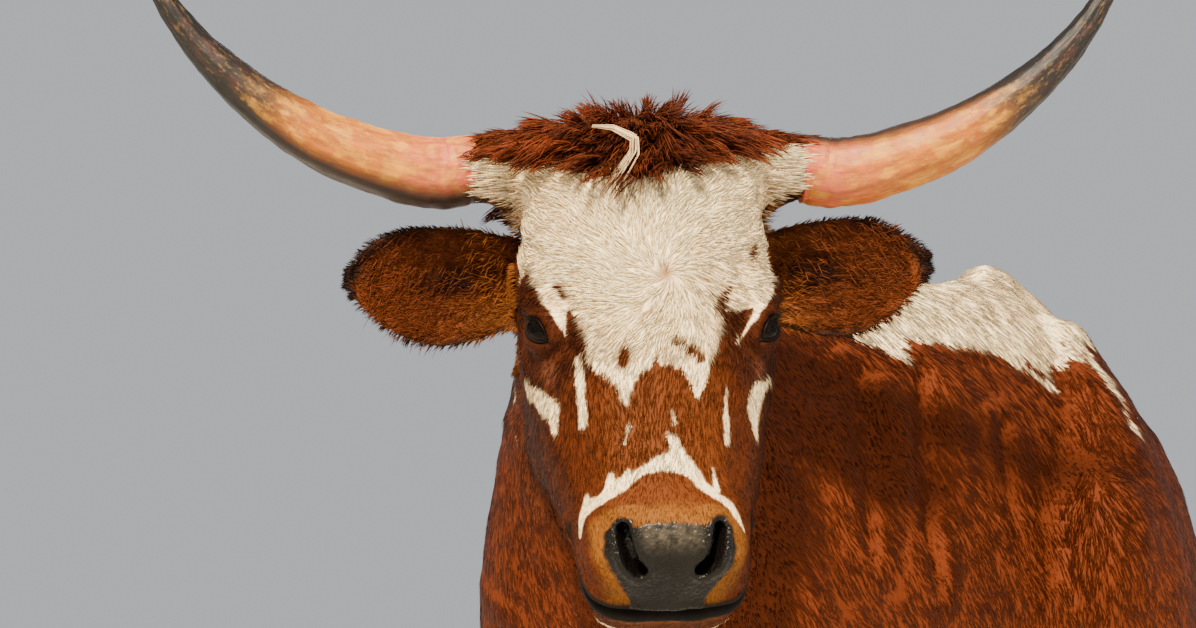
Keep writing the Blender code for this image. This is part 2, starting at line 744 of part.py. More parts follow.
def tuft_locks(head, frame):
    """The red tuft on the poll: rows of locks that stand up, fan out and fall over the brow."""
    rng = random.Random(TUFT_SEED)
    axes = frame.to_3x3()
    locks = []
    for count, reach, level, place, out, down, length in TUFT_ROWS:
        for k in range(count):
            share = (2 * k + 1) / count - 1 + rng.uniform(-0.4, 0.4) / count
            spot = Vector((share * reach, level, place + TUFT_DROP * share**2))
            _, surface, normal, _ = head.closest_point_on_mesh(frame @ spot)
            lie = axes @ Vector((share * TUFT_SPREAD + rng.uniform(-0.25, 0.25), out, down))
            way = (lie.normalized() + normal * TUFT_LIFT).normalized()
            bend = axes @ Vector((rng.uniform(-0.20, 0.20), 0, rng.uniform(0, 0.20))) - normal * 0.2
            size = length * (1 - 0.35 * share**2) * rng.uniform(0.8, 1.2)
            root = surface - normal * TUFT_ROOT_DEPTH
            width = TUFT_WIDTH * rng.uniform(0.8, 1.2)
            locks.append(lock("lock", root, way, bend, size, width, TUFT_THICKNESS))
    return locks


def horn(side):
    """A horn, from the flat end of its root out and up to its tip."""
    frame = poll_frame()
    rows = smooth_rows(HORN, 2)
    along = np.gradient(rows[:, :3], axis=0)
    along[0] = (1, 0, 0)
    rings = []
    for (out, ahead, up, radius), way in zip(rows, along):
        line = Vector((way[0] * side, way[1], way[2])).normalized()
        high = Vector((0, 1, 0)).cross(line).normalized()
        wide = line.cross(high)
        middle = Vector((out * side, ahead, up))
        rings.append([frame @ p for p in oval(middle, wide, high, radius, radius, radius, 2, 2, 14)])
    return loft("horn_left" if side > 0 else "horn_right", rings)


def horn_root_cutter(side):
    """A block that cuts a horn's root flat where the horn starts."""
    frame = poll_frame()
    rings = []
    for out in (HORN_ROOT, HORN_ROOT + 0.05):
        middle = Vector((out * side, HORN[0][1], HORN[0][2]))
        reach = 2 * HORN_BASE_RADIUS
        square = ((-reach, -reach), (reach, -reach), (reach, reach), (-reach, reach))
        rings.append([frame @ (middle + Vector((0, y, z))) for y, z in square])
    return loft("root_cutter", rings)


def ear(frame, side):
    """A cupped ear held out to the side, open to the front."""
    axes = frame.to_3x3()
    root = frame @ Vector((EAR_ROOT.x * side, EAR_ROOT.y, EAR_ROOT.z))
    out = (axes @ Vector((side * 0.985, EAR_SWING[side], 0.03))).normalized()
    facing = (axes @ Vector((-side * 0.10, 0.90, 0.38))).normalized()
    across = out.cross(facing).normalized() * side
    facing = across.cross(out).normalized() * side
    rings = []
    spread = np.linspace(-1, 1, 9)
    for share, wide, sag, cup in smooth_rows(EAR, 1):
        middle = root + out * (share * EAR_LENGTH - 0.012) + across * sag
        width = wide * EAR_HALF_WIDTH
        thick = EAR_THICKNESS * (1 - 0.45 * share)
        behind = [
            middle + across * width * v - facing * (cup * (1 - v * v) + thick * (0.35 + 0.65 * (1 - v * v)))
            for v in spread
        ]
        before = [
            middle + across * width * v * 0.97 - facing * cup * (1 - v * v) for v in spread[::-1]
        ]
        rings.append(behind + before)
    return loft("ear_left" if side > 0 else "ear_right", rings)


def hoof(name, leg_x, leg_y, claw):
    """One claw of a cloven hoof, flat underneath, pointed in front."""
    side, fore = Vector((1, 0, 0)), Vector((0, -1, 0))
    rings = []
    for z, half_length, half_width, ahead in (
        (0.0, 0.062, 0.0255, 0.016),
        (0.012, 0.061, 0.0262, 0.015),
        (0.036, 0.053, 0.0248, 0.006),
        (HOOF_HEIGHT - GAP, 0.044, 0.0225, -0.004),
    ):
        centre = Vector((leg_x + claw * CLAW_SPREAD, leg_y - ahead, z))
        ring = []
        for k in range(16):
            angle = 2 * math.pi * k / 16
            along, across = math.cos(angle), math.sin(angle)
            narrow = 1 - 0.34 * max(along, 0) ** 2
            lean = -claw * 0.006 * max(along, 0) ** 2
            ring.append(centre + fore * along * half_length + side * (across * half_width * narrow + lean))
        rings.append(ring)
    return loft(name, rings)


def tail():
    """The tail's dock, hanging clear of the thighs."""
    rows = smooth_rows(TAIL, 3)
    along = np.gradient(rows[:, :2], axis=0)
    rings = []
    for (y, z, radius), way in zip(rows, along):
        line = Vector((0, way[0], way[1])).normalized()
        high = Vector((1, 0, 0)).cross(line)
        rings.append(oval(Vector((0, y, z)), Vector((1, 0, 0)), high, radius, radius, radius, 2, 2, 12))
    return loft("tail", rings)


def switch_locks():
    """The long hair at the end of the tail, as locks that overlap on their way down."""
    rng = random.Random(SWITCH_SEED)
    middle = TAIL[-1][0]
    locks = []
    for k in range(SWITCH_LOCKS):
        share = (k + 0.5) / SWITCH_LOCKS
        angle = k * GOLDEN_ANGLE
        height = SWITCH_TOP - SWITCH_SPAN * share
        out = Vector((math.cos(angle), math.sin(angle), 0))
        root = Vector((0, middle, height)) + out * 0.004
        way = (out * rng.uniform(0.08, 0.15) + Vector((0, 0, -1))).normalized()
        length = (height - SWITCH_END) * rng.uniform(0.70, 1.0)
        bend = -out * rng.uniform(0.03, 0.08)
        width = SWITCH_WIDTH * rng.uniform(0.8, 1.2)
        locks.append(lock("strand", root, way, bend, length, width, SWITCH_THICKNESS))
    return locks


def head_block(margin=0.0):
    """The block that holds the head, a margin larger behind the nape and below the jaw."""
    frame = poll_frame()
    outline = [(ahead - margin * (ahead < 0), up - margin * (up < 0)) for ahead, up in HEAD_BLOCK]
    rings = []
    for reach in (-HEAD_BLOCK_REACH, HEAD_BLOCK_REACH):
        rings.append([frame @ Vector((reach, ahead, up)) for ahead, up in outline])
    return loft("head_block", rings)


def leg_block(side, end, margin=0.0):
    """The block that holds one leg below the trunk, a margin larger all round."""
    inner, outer, front, back, inner_top, outer_top = LEG_BLOCK[end]
    inner, front, back = inner - margin, front - margin, back + margin
    inner_top, outer_top = inner_top + margin, outer_top + margin
    corners = []
    for y in (front, back):
        for x, z in ((inner, -0.1), (outer, -0.1), (outer, outer_top), (inner, inner_top)):
            corners.append((x * side, y, z))
    faces = [(0, 1, 2, 3), (4, 5, 6, 7)] + [(k, (k + 1) % 4, (k + 1) % 4 + 4, k + 4) for k in range(4)]
    return add_mesh("block", corners, faces)


def part_legs(body):
    """Takes the four legs off the body, each cut flat above its hooves, and makes the hooves."""
    nodes = []
    for name, end, side, step, start in legs():
        leg = copied(body, name.replace("_", "leg_"))
        keep, clear = leg_block(side, end), leg_block(side, end, GAP)
        combined(leg, keep, "INTERSECT", "MANIFOLD")
        combined(body, clear, "DIFFERENCE", "MANIFOLD")
        remove([keep, clear])
        half(leg, Vector((0, 0, HOOF_HEIGHT)), Vector((0, 0, -1)))
        nodes.append((largest(leg), "coat"))
        rows = leg_rows(FORELEG if end == "fore" else HINDLEG, step, side, start)
        foot = rows[np.argmin(abs(rows[:, 2] - HOOF_HEIGHT))]
        for claw, place in ((side, "outer"), (-side, "inner")):
            made = hoof(f"hoof_{name}_{place}", foot[0], foot[1], claw)
            nodes.append((largest(made), "hoof"))
    return nodes


def finish_head(head, frame):
    """Gives the head its lids, eye sockets, nostrils and mouth, and returns it with its eyes."""
    fused("head", [head] + [lid_ring(frame, side) for side in (1, -1)] + tuft_locks(head, frame))
    cutters = [mouth_cutter(frame)]
    for side in (1, -1):
        cutters += [nostril_cutter(frame, side), horn_root_cutter(side)]
    eyes = []
    for side, name in ((1, "eye_left"), (-1, "eye_right")):
        place = frame @ Vector((EYE_PLACE.x * side, EYE_PLACE.y, EYE_PLACE.z))
        eyes.append((ball(name, place, (EYE_RADIUS,) * 3), "eye"))
        cutters.append(ball("socket", place, (EYE_RADIUS + GAP,) * 3))
    for cutter in cutters:
        combined(head, cutter, "DIFFERENCE", "MANIFOLD")
    remove(cutters)
    return [(largest(head), "coat")] + eyes


def build():
    """Makes every node, with the finish that each one has."""
    frame = head_frame()
    body = rounded("torso", body_pieces(), BODY_VOXEL, 12, BODY_TRIANGLES)
    head = rounded("head", head_pieces(frame), HEAD_VOXEL, 6, HEAD_TRIANGLES)

    keep, clear = head_block(), head_block(GAP)
    largest(combined(head, keep, "INTERSECT", "MANIFOLD"))
    largest(combined(body, clear, "DIFFERENCE", "MANIFOLD"))
    remove([keep, clear])

    neck_cut = Vector(NECK_CUT_WAY).normalized()
    neck = largest(parted(body, "neck", Vector(NECK_CUT_PLACE), neck_cut))
    largest(body)

    nodes = [(neck, "coat")] + finish_head(head, frame)
    for side in (1, -1):
        nodes += [(largest(horn(side)), "horn"), (seated(ear(frame, side), head), "coat")]
    nodes += part_legs(body)
    nodes.append((largest(body), "coat"))
    nodes.append((seated(fused("tail", [tail()] + switch_locks()), body), "coat"))
    return nodes


def centre_on_floor(items):
    """Moves the whole so that the origin is at the middle of its box's bottom."""
    points = np.array([tuple(v.co) for item in items for v in item.data.vertices])
    low, high = points.min(axis=0), points.max(axis=0)
    shift = Matrix.Translation((-(low[0] + high[0]) / 2, -(low[1] + high[1]) / 2, -low[2]))
    for item in items:
        item.data.transform(shift)


def main():
    """Empties the scene, builds the animal and gives each node its finish."""
    for item in list(bpy.data.objects):
        bpy.data.objects.remove(item)
    finishes = {
        "coat": material("red_coat", SKIN_RED, 0.75),
        "horn": material("horn_straw", HORN_STRAW, 0.42),
        "eye": material("eye_dark", EYE_DARK, 0.06),
        "hoof": material("hoof_dark", HOOF_DARK, 0.5),
    }
    nodes = build()
    centre_on_floor([item for item, _ in nodes])
    for item, finish in nodes:
        item.data.materials.clear()
        item.data.materials.append(finishes[finish])


if __name__ == "__main__":
    main()
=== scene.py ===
"""A red and white beef steer with long horns, standing: its skin, coat, eyes, horns and hooves."""

import sys

import logging
import math
from collections.abc import Callable, Iterable, Sequence
from dataclasses import dataclass, field
from enum import Enum

import bmesh
import bpy
import numpy as np
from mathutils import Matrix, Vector
from numpy.typing import NDArray

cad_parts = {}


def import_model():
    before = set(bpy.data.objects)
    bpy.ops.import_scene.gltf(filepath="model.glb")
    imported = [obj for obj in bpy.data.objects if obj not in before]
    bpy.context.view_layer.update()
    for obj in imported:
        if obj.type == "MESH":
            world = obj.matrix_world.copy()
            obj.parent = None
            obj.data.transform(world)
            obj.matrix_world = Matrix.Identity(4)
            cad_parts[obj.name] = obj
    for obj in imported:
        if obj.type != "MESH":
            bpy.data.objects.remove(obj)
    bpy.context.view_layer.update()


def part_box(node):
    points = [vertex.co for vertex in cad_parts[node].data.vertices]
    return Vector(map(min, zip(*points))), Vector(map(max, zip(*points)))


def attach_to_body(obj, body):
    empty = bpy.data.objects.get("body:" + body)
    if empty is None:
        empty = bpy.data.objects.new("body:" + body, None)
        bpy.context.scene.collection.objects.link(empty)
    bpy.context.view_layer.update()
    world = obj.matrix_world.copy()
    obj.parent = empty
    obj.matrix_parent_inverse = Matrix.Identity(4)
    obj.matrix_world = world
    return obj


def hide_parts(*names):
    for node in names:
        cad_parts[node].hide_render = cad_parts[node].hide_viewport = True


Floats = NDArray[np.float64]
Ints = NDArray[np.int64]
Flags = NDArray[np.bool_]
Point = tuple[float, float, float]
Table = Sequence[Sequence[float]]
Node = bpy.types.Node
Tree = bpy.types.NodeTree
Object = bpy.types.Object
Material = bpy.types.Material
Mesh = bpy.types.Mesh
Chance = np.random.Generator

log = logging.getLogger("steer")

SEED = 20
BAKE_MAP = "OFBake"
COLOUR = "coat_colour"
GRAIN = "hair_grain"


# Numbers


def linear(shade: str) -> tuple[float, float, float]:
    """Turns an sRGB hex value to linear red, green and blue.

    Args:
        shade: The colour, such as "#8f4a24".

    Returns:
        The three linear values, from 0 to 1.
    """
    parts = [int(shade[k : k + 2], 16) / 255 for k in (1, 3, 5)]
    return tuple(p / 12.92 if p <= 0.04045 else ((p + 0.055) / 1.055) ** 2.4 for p in parts)


def tint(shade: str) -> Floats:
    """A colour's three linear values as an array."""
    return np.array(linear(shade))


def metres(rows: Sequence | float) -> tuple | float:
    """Turns millimetres to metres, through rows within rows."""
    return rows / 1000 if isinstance(rows, (int, float)) else tuple(metres(row) for row in rows)


def mixed(base: Floats, other: Floats, share: Floats) -> Floats:
    """Blends rows of numbers.

    Args:
        base: The rows where the share is 0.
        other: The rows where it is 1.
        share: One number from 0 to 1 to a row.

    Returns:
        The blended rows.
    """
    share = share.reshape(-1, 1)
    return base * (1 - share) + other * share


def bell(gap: Floats, width: Floats | float) -> Floats:
    """A smooth hump: 1 where the gap is 0, and nearly 0 two widths away."""
    return np.exp(-((gap / width) ** 2))


def turns(count: int) -> Floats:
    """Evenly spaced angles round a circle."""
    return np.linspace(0, math.tau, count + 1)[:-1]


def ease(low: float, high: float, values: Floats) -> Floats:
    """Rises smoothly from 0 at low to 1 at high.

    Args:
        low: Where the rise starts.
        high: Where it ends.
        values: The numbers to ease.

    Returns:
        Numbers from 0 to 1.
    """
    share = np.clip((np.asarray(values, float) - low) / (high - low), 0, 1)
    return share * share * (3 - 2 * share)


def lengths(ways: Floats) -> Floats:
    """The length of each row."""
    return np.linalg.norm(ways, axis=1)


def unit(ways: Floats) -> Floats:
    """Scales each way to a length of one."""
    return ways / np.maximum(np.linalg.norm(ways, axis=-1, keepdims=True), 1e-12)


def along_surface(ways: Floats, normals: Floats) -> Floats:
    """Lays each way flat on the surface under it."""
    return unit(ways - normals * np.sum(ways * normals, axis=1, keepdims=True))


def scattered(cells: Ints, seed: int) -> Floats:
    """Gives each cell of a grid its own number from 0 to 1.

    Args:
        cells: Whole numbers, three to a cell.
        seed: Another seed gives other numbers.

    Returns:
        One number to a cell.
    """
    mixed = cells[:, 0] * 0x8DA6B343 + cells[:, 1] * 0xD8163841 + cells[:, 2] * 0xCB1AB31F
    mixed = (mixed + seed * 0x9E3779B1) & 0xFFFFFFFF
    mixed ^= mixed >> 13
    mixed = (mixed * 0x5BD1E995) & 0xFFFFFFFF
    mixed ^= mixed >> 15
    return mixed / 0xFFFFFFFF


def patchy(points: Floats, size: float, seed: int = 0) -> Floats:
    """Smooth random patches through space.

    Args:
        points: Places in metres.
        size: How far apart the patches are, in metres.
        seed: Another seed gives other patches.

    Returns:
        A number from -1 to 1 at each place.
    """
    scaled = points / size
    cell = np.floor(scaled).astype(np.int64)
    share = scaled - cell
    share = share * share * (3 - 2 * share)
    total = np.zeros(len(points))
    for corner in range(8):
        step = np.array([corner & 1, corner >> 1 & 1, corner >> 2 & 1])
        weight = np.prod(np.where(step, share, 1 - share), axis=1)
        total += weight * scattered(cell + step, seed)
    return total * 2 - 1


def distance_to_line(points: Floats, line: Floats) -> tuple[Floats, Floats]:
    """Measures how far each point is from a bent line.

    Args:
        points: Places, two or three numbers each.
        line: The line's corners, with a radius as the last number of each.

    Returns:
        The distances, and the line's radius at the nearest place.
    """
    best = np.full(len(points), np.inf)
    radius = np.zeros(len(points))
    rows = [line[0], line[0]] if len(line) == 1 else line
    for start, end in zip(rows[:-1], rows[1:]):
        way = end[:-1] - start[:-1]
        length = max(float(way @ way), 1e-12)
        share = np.clip((points - start[:-1]) @ way / length, 0, 1)
        gap = lengths(points - start[:-1] - share[:, None] * way)
        nearer = gap < best
        best[nearer] = gap[nearer]
        radius[nearer] = (start[-1] + share * (end[-1] - start[-1]))[nearer]
    return best, radius


def inside_stroke(points: Floats, line: Sequence[Sequence[float]]) -> Floats:
    """How deep each point lies inside a stroke of changing width; negative outside."""
    gap, radius = distance_to_line(points, np.array(line, float))
    return radius - gap


def inside_outline(points: Floats, corners: Sequence[Sequence[float]]) -> Floats:
    """How deep each flat point lies inside a closed outline.

    Args:
        points: Places, two numbers each.
        corners: The outline's corners in order.

    Returns:
        The depth in metres, negative outside.
    """
    loop = np.array(list(corners) + [corners[0]], float)
    ring = np.hstack([loop, np.zeros((len(loop), 1))])
    gap, _ = distance_to_line(points, ring)
    crossings = np.zeros(len(points), int)
    for (ax, ay), (bx, by) in zip(loop[:-1], loop[1:]):
        spans = (ay > points[:, 1]) != (by > points[:, 1])
        height = by - ay if by != ay else 1e-12
        side = points[:, 0] < (bx - ax) * (points[:, 1] - ay) / height + ax
        crossings += spans & side
    return np.where(crossings % 2 == 1, gap, -gap)


# Where the animal stands


@dataclass(frozen=True)
class Stance:
    """The head's own axes and the body's, found from the two eyes.

    In the head's axes the first number goes to the animal's left, the second out of its
    forehead and the third down its face, all from the poll. In the body's axes the first
    goes to its left from the middle of the trunk, the second back, the third up.
    """

    yaw: float = math.radians(15.2)
    roll: float = math.radians(1.2)
    nod: float = math.radians(68.0)
    eye: Point = (0.102, -0.038, 0.224)
    poll: Point = (-0.32, -1.057, 1.35)

    def poll_axes(self) -> Floats:
        """Left, ahead and up at the poll, one to a column.

        Returns:
            A matrix of three columns.
        """
        ahead = np.array([math.sin(self.yaw), -math.cos(self.yaw), 0.0])
        level = np.array([math.cos(self.yaw), math.sin(self.yaw), 0.0])
        left = level * math.cos(self.roll) + np.array([0, 0, math.sin(self.roll)])
        return np.column_stack([left, ahead, np.cross(ahead, left)])

    def axes(self) -> Floats:
        """Left, out of the forehead and down the face, one to a column.

        Returns:
            A matrix of three columns.
        """
        left, ahead, up = self.poll_axes().T
        down_face = ahead * math.cos(self.nod) - up * math.sin(self.nod)
        out = ahead * math.sin(self.nod) + up * math.cos(self.nod)
        return np.column_stack([left, out, down_face])

    def origin(self) -> Floats:
        """The poll's place."""
        eyes = [np.mean([list(c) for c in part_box(n)], axis=0) for n in ("eye_left", "eye_right")]
        return np.mean(eyes, axis=0) - self.axes() @ np.array([0, self.eye[1], self.eye[2]])

    def to_head(self, points: Floats) -> Floats:
        """Places in the head's axes."""
        return (points - self.origin()) @ self.axes()

    def from_head(self, points: Floats) -> Floats:
        """Places in the model's axes, from the head's."""
        return np.asarray(points, float) @ self.axes().T + self.origin()

    def from_poll(self, points: Floats) -> Floats:
        """Places in the model's axes, from left, ahead and up at the poll."""
        return np.asarray(points, float) @ self.poll_axes().T + self.origin()

    def body_origin(self) -> Floats:
        """The floor's place under the middle of the shoulders."""
        return self.origin() - np.array(self.poll)

    def to_body(self, points: Floats) -> Floats:
        """Places in the body's axes."""
        return points - self.body_origin()

    def headness(self, points: Floats) -> Floats:
        """1 on the head, falling to 0 along the neck behind the jaw and the poll."""
        head = self.to_head(points)
        reach = np.abs(head[:, 0])
        return ease(-0.255, -0.175, head[:, 1]) * (1 - ease(0.21, 0.25, reach))


class Side(Enum):
    """The animal's own left and right."""

    LEFT = 1
    RIGHT = -1

    @property
    def word(self) -> str:
        """The side's word in a piece's name."""
        return self.name.lower()


# Finishes


def wire(tree: Tree, node: Node, links: dict) -> None:
    """Links a node's inputs.

    Args:
        tree: The material's node tree.
        node: The node that is fed.
        links: Sources by the input's name or number; a node stands for its first output.
    """
    for name, source in links.items():
        source = source.outputs[0] if isinstance(source, Node) else source
        tree.links.new(source, node.inputs[name])


def add_node(tree: Tree, kind: str, settings: dict | None = None, links: dict | None = None) -> Node:
    """Adds one node with its settings and its links.

    Args:
        tree: The material's node tree.
        kind: The node's Blender type name, after ShaderNode.
        settings: Values by property name, or by socket name or number.
        links: Sources by the input's name or number; a node stands for its first output.

    Returns:
        The new node.
    """
    node = tree.nodes.new("ShaderNode" + kind)
    for name, value in (settings or {}).items():
        if isinstance(name, str) and hasattr(node, name):
            setattr(node, name, value)
        else:
            node.inputs[name].default_value = value
    wire(tree, node, links or {})
    return node


def fresh_material(name: str, sockets: dict) -> tuple[Material, Tree, Node]:
    """Makes a material with one Principled shader.

    Args:
        name: The material's name.
        sockets: The shader's values that are the same all over, by socket name.

    Returns:
        The material, its node tree and the shader.
    """
    made = bpy.data.materials.new(name)
    made.use_nodes = True
    shader = made.node_tree.nodes["Principled BSDF"]
    for socket, value in sockets.items():
        shader.inputs[socket].default_value = value
    return made, made.node_tree, shader


def ramp(node: Node, stops: Sequence[tuple[float, str]]) -> None:
    """Sets a colour ramp's stops.

    Args:
        node: The ramp.
        stops: Places from 0 to 1 with sRGB colours.
    """
    band = node.color_ramp
    while len(band.elements) > 1:
        band.elements.remove(band.elements[-1])
    for k, (place, shade) in enumerate(stops):
        stop = band.elements[0] if k == 0 else band.elements.new(place)
        stop.position = place
        stop.color = (*linear(shade), 1.0)


@dataclass(frozen=True)
class CowHide:
    """Living hide under short hair that lies flat: dull, with a faint grain along the lie."""

    roughness: float = 0.66
    # Hairs are 0.05 mm thick, too fine to show, so they are drawn as locks 1.6 mm apart
    lock_spacing: float = 0.0016

    def make(self) -> Material:
        """Builds the hide's material.

        Returns:
            The material.
        """
        dull = {"IOR": 1.45, "Roughness": self.roughness, "Specular IOR Level": 0.08}
        made, tree, shader = fresh_material("cow_hide", dull)
        colour = add_node(tree, "Attribute", {"attribute_name": COLOUR})
        grain = add_node(tree, "Attribute", {"attribute_name": GRAIN}).outputs["Vector"]
        fine = {"Scale": 0.5 / self.lock_spacing, "Detail": 3.0, "Roughness": 0.65}
        locks = add_node(tree, "TexNoise", fine, {"Vector": grain})
        bump = add_node(tree, "Bump", {"Strength": 0.8, "Distance": 0.0012}, {"Height": locks})
        deep = {"From Min": 0.25, "From Max": 0.75, "To Min": 0.8, "To Max": 1.12}
        depth = add_node(tree, "MapRange", deep, {"Value": locks})
        streaked = add_node(tree, "VectorMath", {"operation": "SCALE"}, {0: colour, "Scale": depth})
        wire(tree, shader, {"Base Color": streaked, "Normal": bump})
        return made


@dataclass(frozen=True)
class NoseLeather:
    """Bare wet leather of the nose: dark, pebbled, with sharp glints where light strikes it."""

    roughness_low: float = 0.2
    roughness_high: float = 0.44
    # The leather's pebbles are about 3 mm across
    pebble: float = 0.003

    def make(self) -> Material:
        """Builds the nose leather's material.

        Returns:
            The material.
        """
        wet = {"IOR": 1.4, "Specular IOR Level": 0.16, "Coat Weight": 0.1, "Coat Roughness": 0.24}
        made, tree, shader = fresh_material("nose_leather", wet)
        colour = add_node(tree, "Attribute", {"attribute_name": COLOUR})
        place = add_node(tree, "TexCoord").outputs["Object"]
        cells = {"feature": "SMOOTH_F1", "Scale": 1.0 / self.pebble, "Smoothness": 0.6}
        pebbles = add_node(tree, "TexVoronoi", cells, {"Vector": place})
        lumps = add_node(tree, "TexNoise", {"Scale": 140.0, "Detail": 3.0}, {"Vector": place})
        sunk = {"operation": "MULTIPLY_ADD", 1: -0.55}
        height = add_node(tree, "Math", sunk, {0: pebbles, 2: lumps})
        bump = add_node(tree, "Bump", {"Strength": 1.0, "Distance": 0.0022}, {"Height": height})
        shine = {"From Min": 0.3, "From Max": 0.7}
        shine |= {"To Min": self.roughness_low, "To Max": self.roughness_high}
        gloss = add_node(tree, "MapRange", shine, {"Value": lumps})
        wire(tree, shader, {"Base Color": colour, "Roughness": gloss, "Normal": bump})
        return made


@dataclass(frozen=True)
class CowHair:
    """Tufts of cattle hair: coarse keratin with a thin film of grease, a soft shine on the lie."""

    roughness: float = 0.55
    index: float = 1.55

    def make(self) -> Material:
        """Builds the hair's material.

        Returns:
            The material.
        """
        dull = {"Roughness": self.roughness, "IOR": self.index, "Specular IOR Level": 0.08}
        made, tree, shader = fresh_material("cow_hair", dull)
        wire(tree, shader, {"Base Color": add_node(tree, "Attribute", {"attribute_name": COLOUR})})
        return made


@dataclass(frozen=True)
class HornSheath:
    """Keratin of a steer's horn, grown in layers and weathered: waxy pink at the head, straw
    and amber along its middle, dark and scuffed towards the tip."""

    roughness_low: float = 0.42
    roughness_high: float = 0.66
    index: float = 1.54
    # Light reaches a little way into the horn, red furthest, in metres
    glow: Point = (0.012, 0.006, 0.003)
    scuff: str = "#c08a48"
    yellow: str = "#c98a1c"
    flushed: str = "#c0583a"
    # Dark laid on the top and underside: partly the horn's pigment, partly painted shade along its
    # outline
    stained: str = "#0b0907"
    along: Sequence[tuple[float, str]] = (
        (0.0, "#b04d30"), (0.07, "#bb5b34"), (0.14, "#b8631f"), (0.25, "#b0600d"), (0.4, "#a65a0b"),
        (0.47, "#7a4714"), (0.52, "#3c2a18"), (0.58, "#1f1913"), (0.8, "#14110d"), (1.0, "#0b0a08"),
    )

    def make(self) -> Material:
        """Builds the horn's material from the share of its length and the way round it.

        Returns:
            The material.
        """
        waxy = {"IOR": self.index, "Specular IOR Level": 0.28, "Subsurface Weight": 0.06}
        waxy |= {"Subsurface Radius": self.glow, "Subsurface Scale": 0.4}
        made, tree, shader = fresh_material("horn_sheath", waxy)
        grown = add_node(tree, "Attribute", {"attribute_name": "horn_growth"}).outputs["Vector"]
        split = add_node(tree, "SeparateXYZ", {}, {"Vector": grown})
        along, up = split.outputs["X"], split.outputs["Z"]
        # Streaks run along the horn; blotches are about twice as long as they are wide
        drawn = add_node(tree, "Mapping", {"Scale": (2.2, 1.0, 1.0)}, {"Vector": grown})
        patched = add_node(tree, "Mapping", {"Scale": (7.0, 1.0, 1.0)}, {"Vector": grown})
        grains = []
        for mapped, scale, rough in ((drawn, 9.0, 0.62), (patched, 2.6, 0.6), (patched, 6.5, 0.7)):
            fine = {"Scale": scale, "Detail": 5.0, "Roughness": rough}
            grains.append(add_node(tree, "TexNoise", fine, {"Vector": mapped}))
        streaks, blotches, flecks = grains
        wander = {"operation": "MULTIPLY_ADD", 1: 0.16}
        shifted = add_node(tree, "Math", wander, {0: flecks, 2: along})
        centred = add_node(tree, "Math", {"operation": "SUBTRACT", 1: 0.08}, {0: shifted})
        colour = add_node(tree, "ValToRGB", {}, {"Fac": centred})
        ramp(colour, self.along)
        # Each colour laid over the bands, and two ranges whose product is its share: what a
        # range follows, from where to where, and the share there
        layers = (
            (self.yellow, (blotches, 0.48, 0.6, 0.0, 0.7), (along, 0.6, 0.46, 0.0, 1.0)),
            (self.flushed, (blotches, 0.5, 0.36, 0.0, 1.0), (along, 0.26, 0.05, 0.05, 0.6)),
            (self.scuff, (flecks, 0.53, 0.68, 0.0, 0.75), (along, 0.64, 0.48, 0.36, 0.7)),
            # The top of the outer half and the underside are darkened: partly dark pigment, partly
            # painted shade along the outline
            (self.stained, (up, 0.45, 0.72, 0.0, 0.8), (along, 0.36, 0.5, 0.0, 1.0)),
            (self.stained, (up, -0.34, -0.66, 0.0, 1.0), (up, 0.0, -0.1, 0.0, 0.96)),
        )
        for shade, *ranges in layers:
            parts = []
            for value, low, high, first, last in ranges:
                stretch = {"From Min": low, "From Max": high, "To Min": first, "To Max": last}
                parts.append(add_node(tree, "MapRange", stretch, {"Value": value}))
            share = add_node(tree, "Math", {"operation": "MULTIPLY"}, dict(enumerate(parts)))
            laid = {"data_type": "RGBA", 7: (*linear(shade), 1.0)}
            colour = add_node(tree, "Mix", laid, {0: share, 6: colour}).outputs[2]
        deep = {"From Min": 0.34, "From Max": 0.66, "To Min": 0.66, "To Max": 1.22}
        depth = add_node(tree, "MapRange", deep, {"Value": streaks})
        toned = add_node(tree, "VectorMath", {"operation": "SCALE"}, {0: colour, "Scale": depth})
        shine = {"From Min": 0.3, "From Max": 0.7}
        shine |= {"To Min": self.roughness_low, "To Max": self.roughness_high}
        gloss = add_node(tree, "MapRange", shine, {"Value": streaks})
        bump = add_node(tree, "Bump", {"Strength": 0.5, "Distance": 0.0008}, {"Height": streaks})
        wire(tree, shader, {"Base Color": toned, "Roughness": gloss, "Normal": bump})
        return made


@dataclass(frozen=True)
class HoofWall:
    """Hoof horn worn by stony ground: dull, dark, with growth lines about 4 mm apart."""

    roughness: float = 0.55
    line_spacing: float = 0.004

    def make(self) -> Material:
        """Builds the hoof's material.

        Returns:
            The material.
        """
        made, tree, shader = fresh_material("hoof_wall", {"Roughness": self.roughness, "IOR": 1.54})
        place = add_node(tree, "TexCoord").outputs["Object"]
        grown = {"wave_type": "BANDS", "bands_direction": "Z", "Scale": 0.314 / self.line_spacing}
        grown |= {"Distortion": 2.5, "Detail": 2.0}
        lines = add_node(tree, "TexWave", grown, {"Vector": place}).outputs["Fac"]
        mottle = add_node(tree, "TexNoise", {"Scale": 60.0, "Detail": 4.0}, {"Vector": place})
        colours = add_node(tree, "ValToRGB", {}, {"Fac": mottle})
        ramp(colours, [(0.3, "#2a241f"), (0.55, "#4a3f34"), (0.75, "#6c5d4a")])
        bump = add_node(tree, "Bump", {"Strength": 0.6, "Distance": 0.0008}, {"Height": lines})
        wire(tree, shader, {"Base Color": colours, "Normal": bump})
        return made


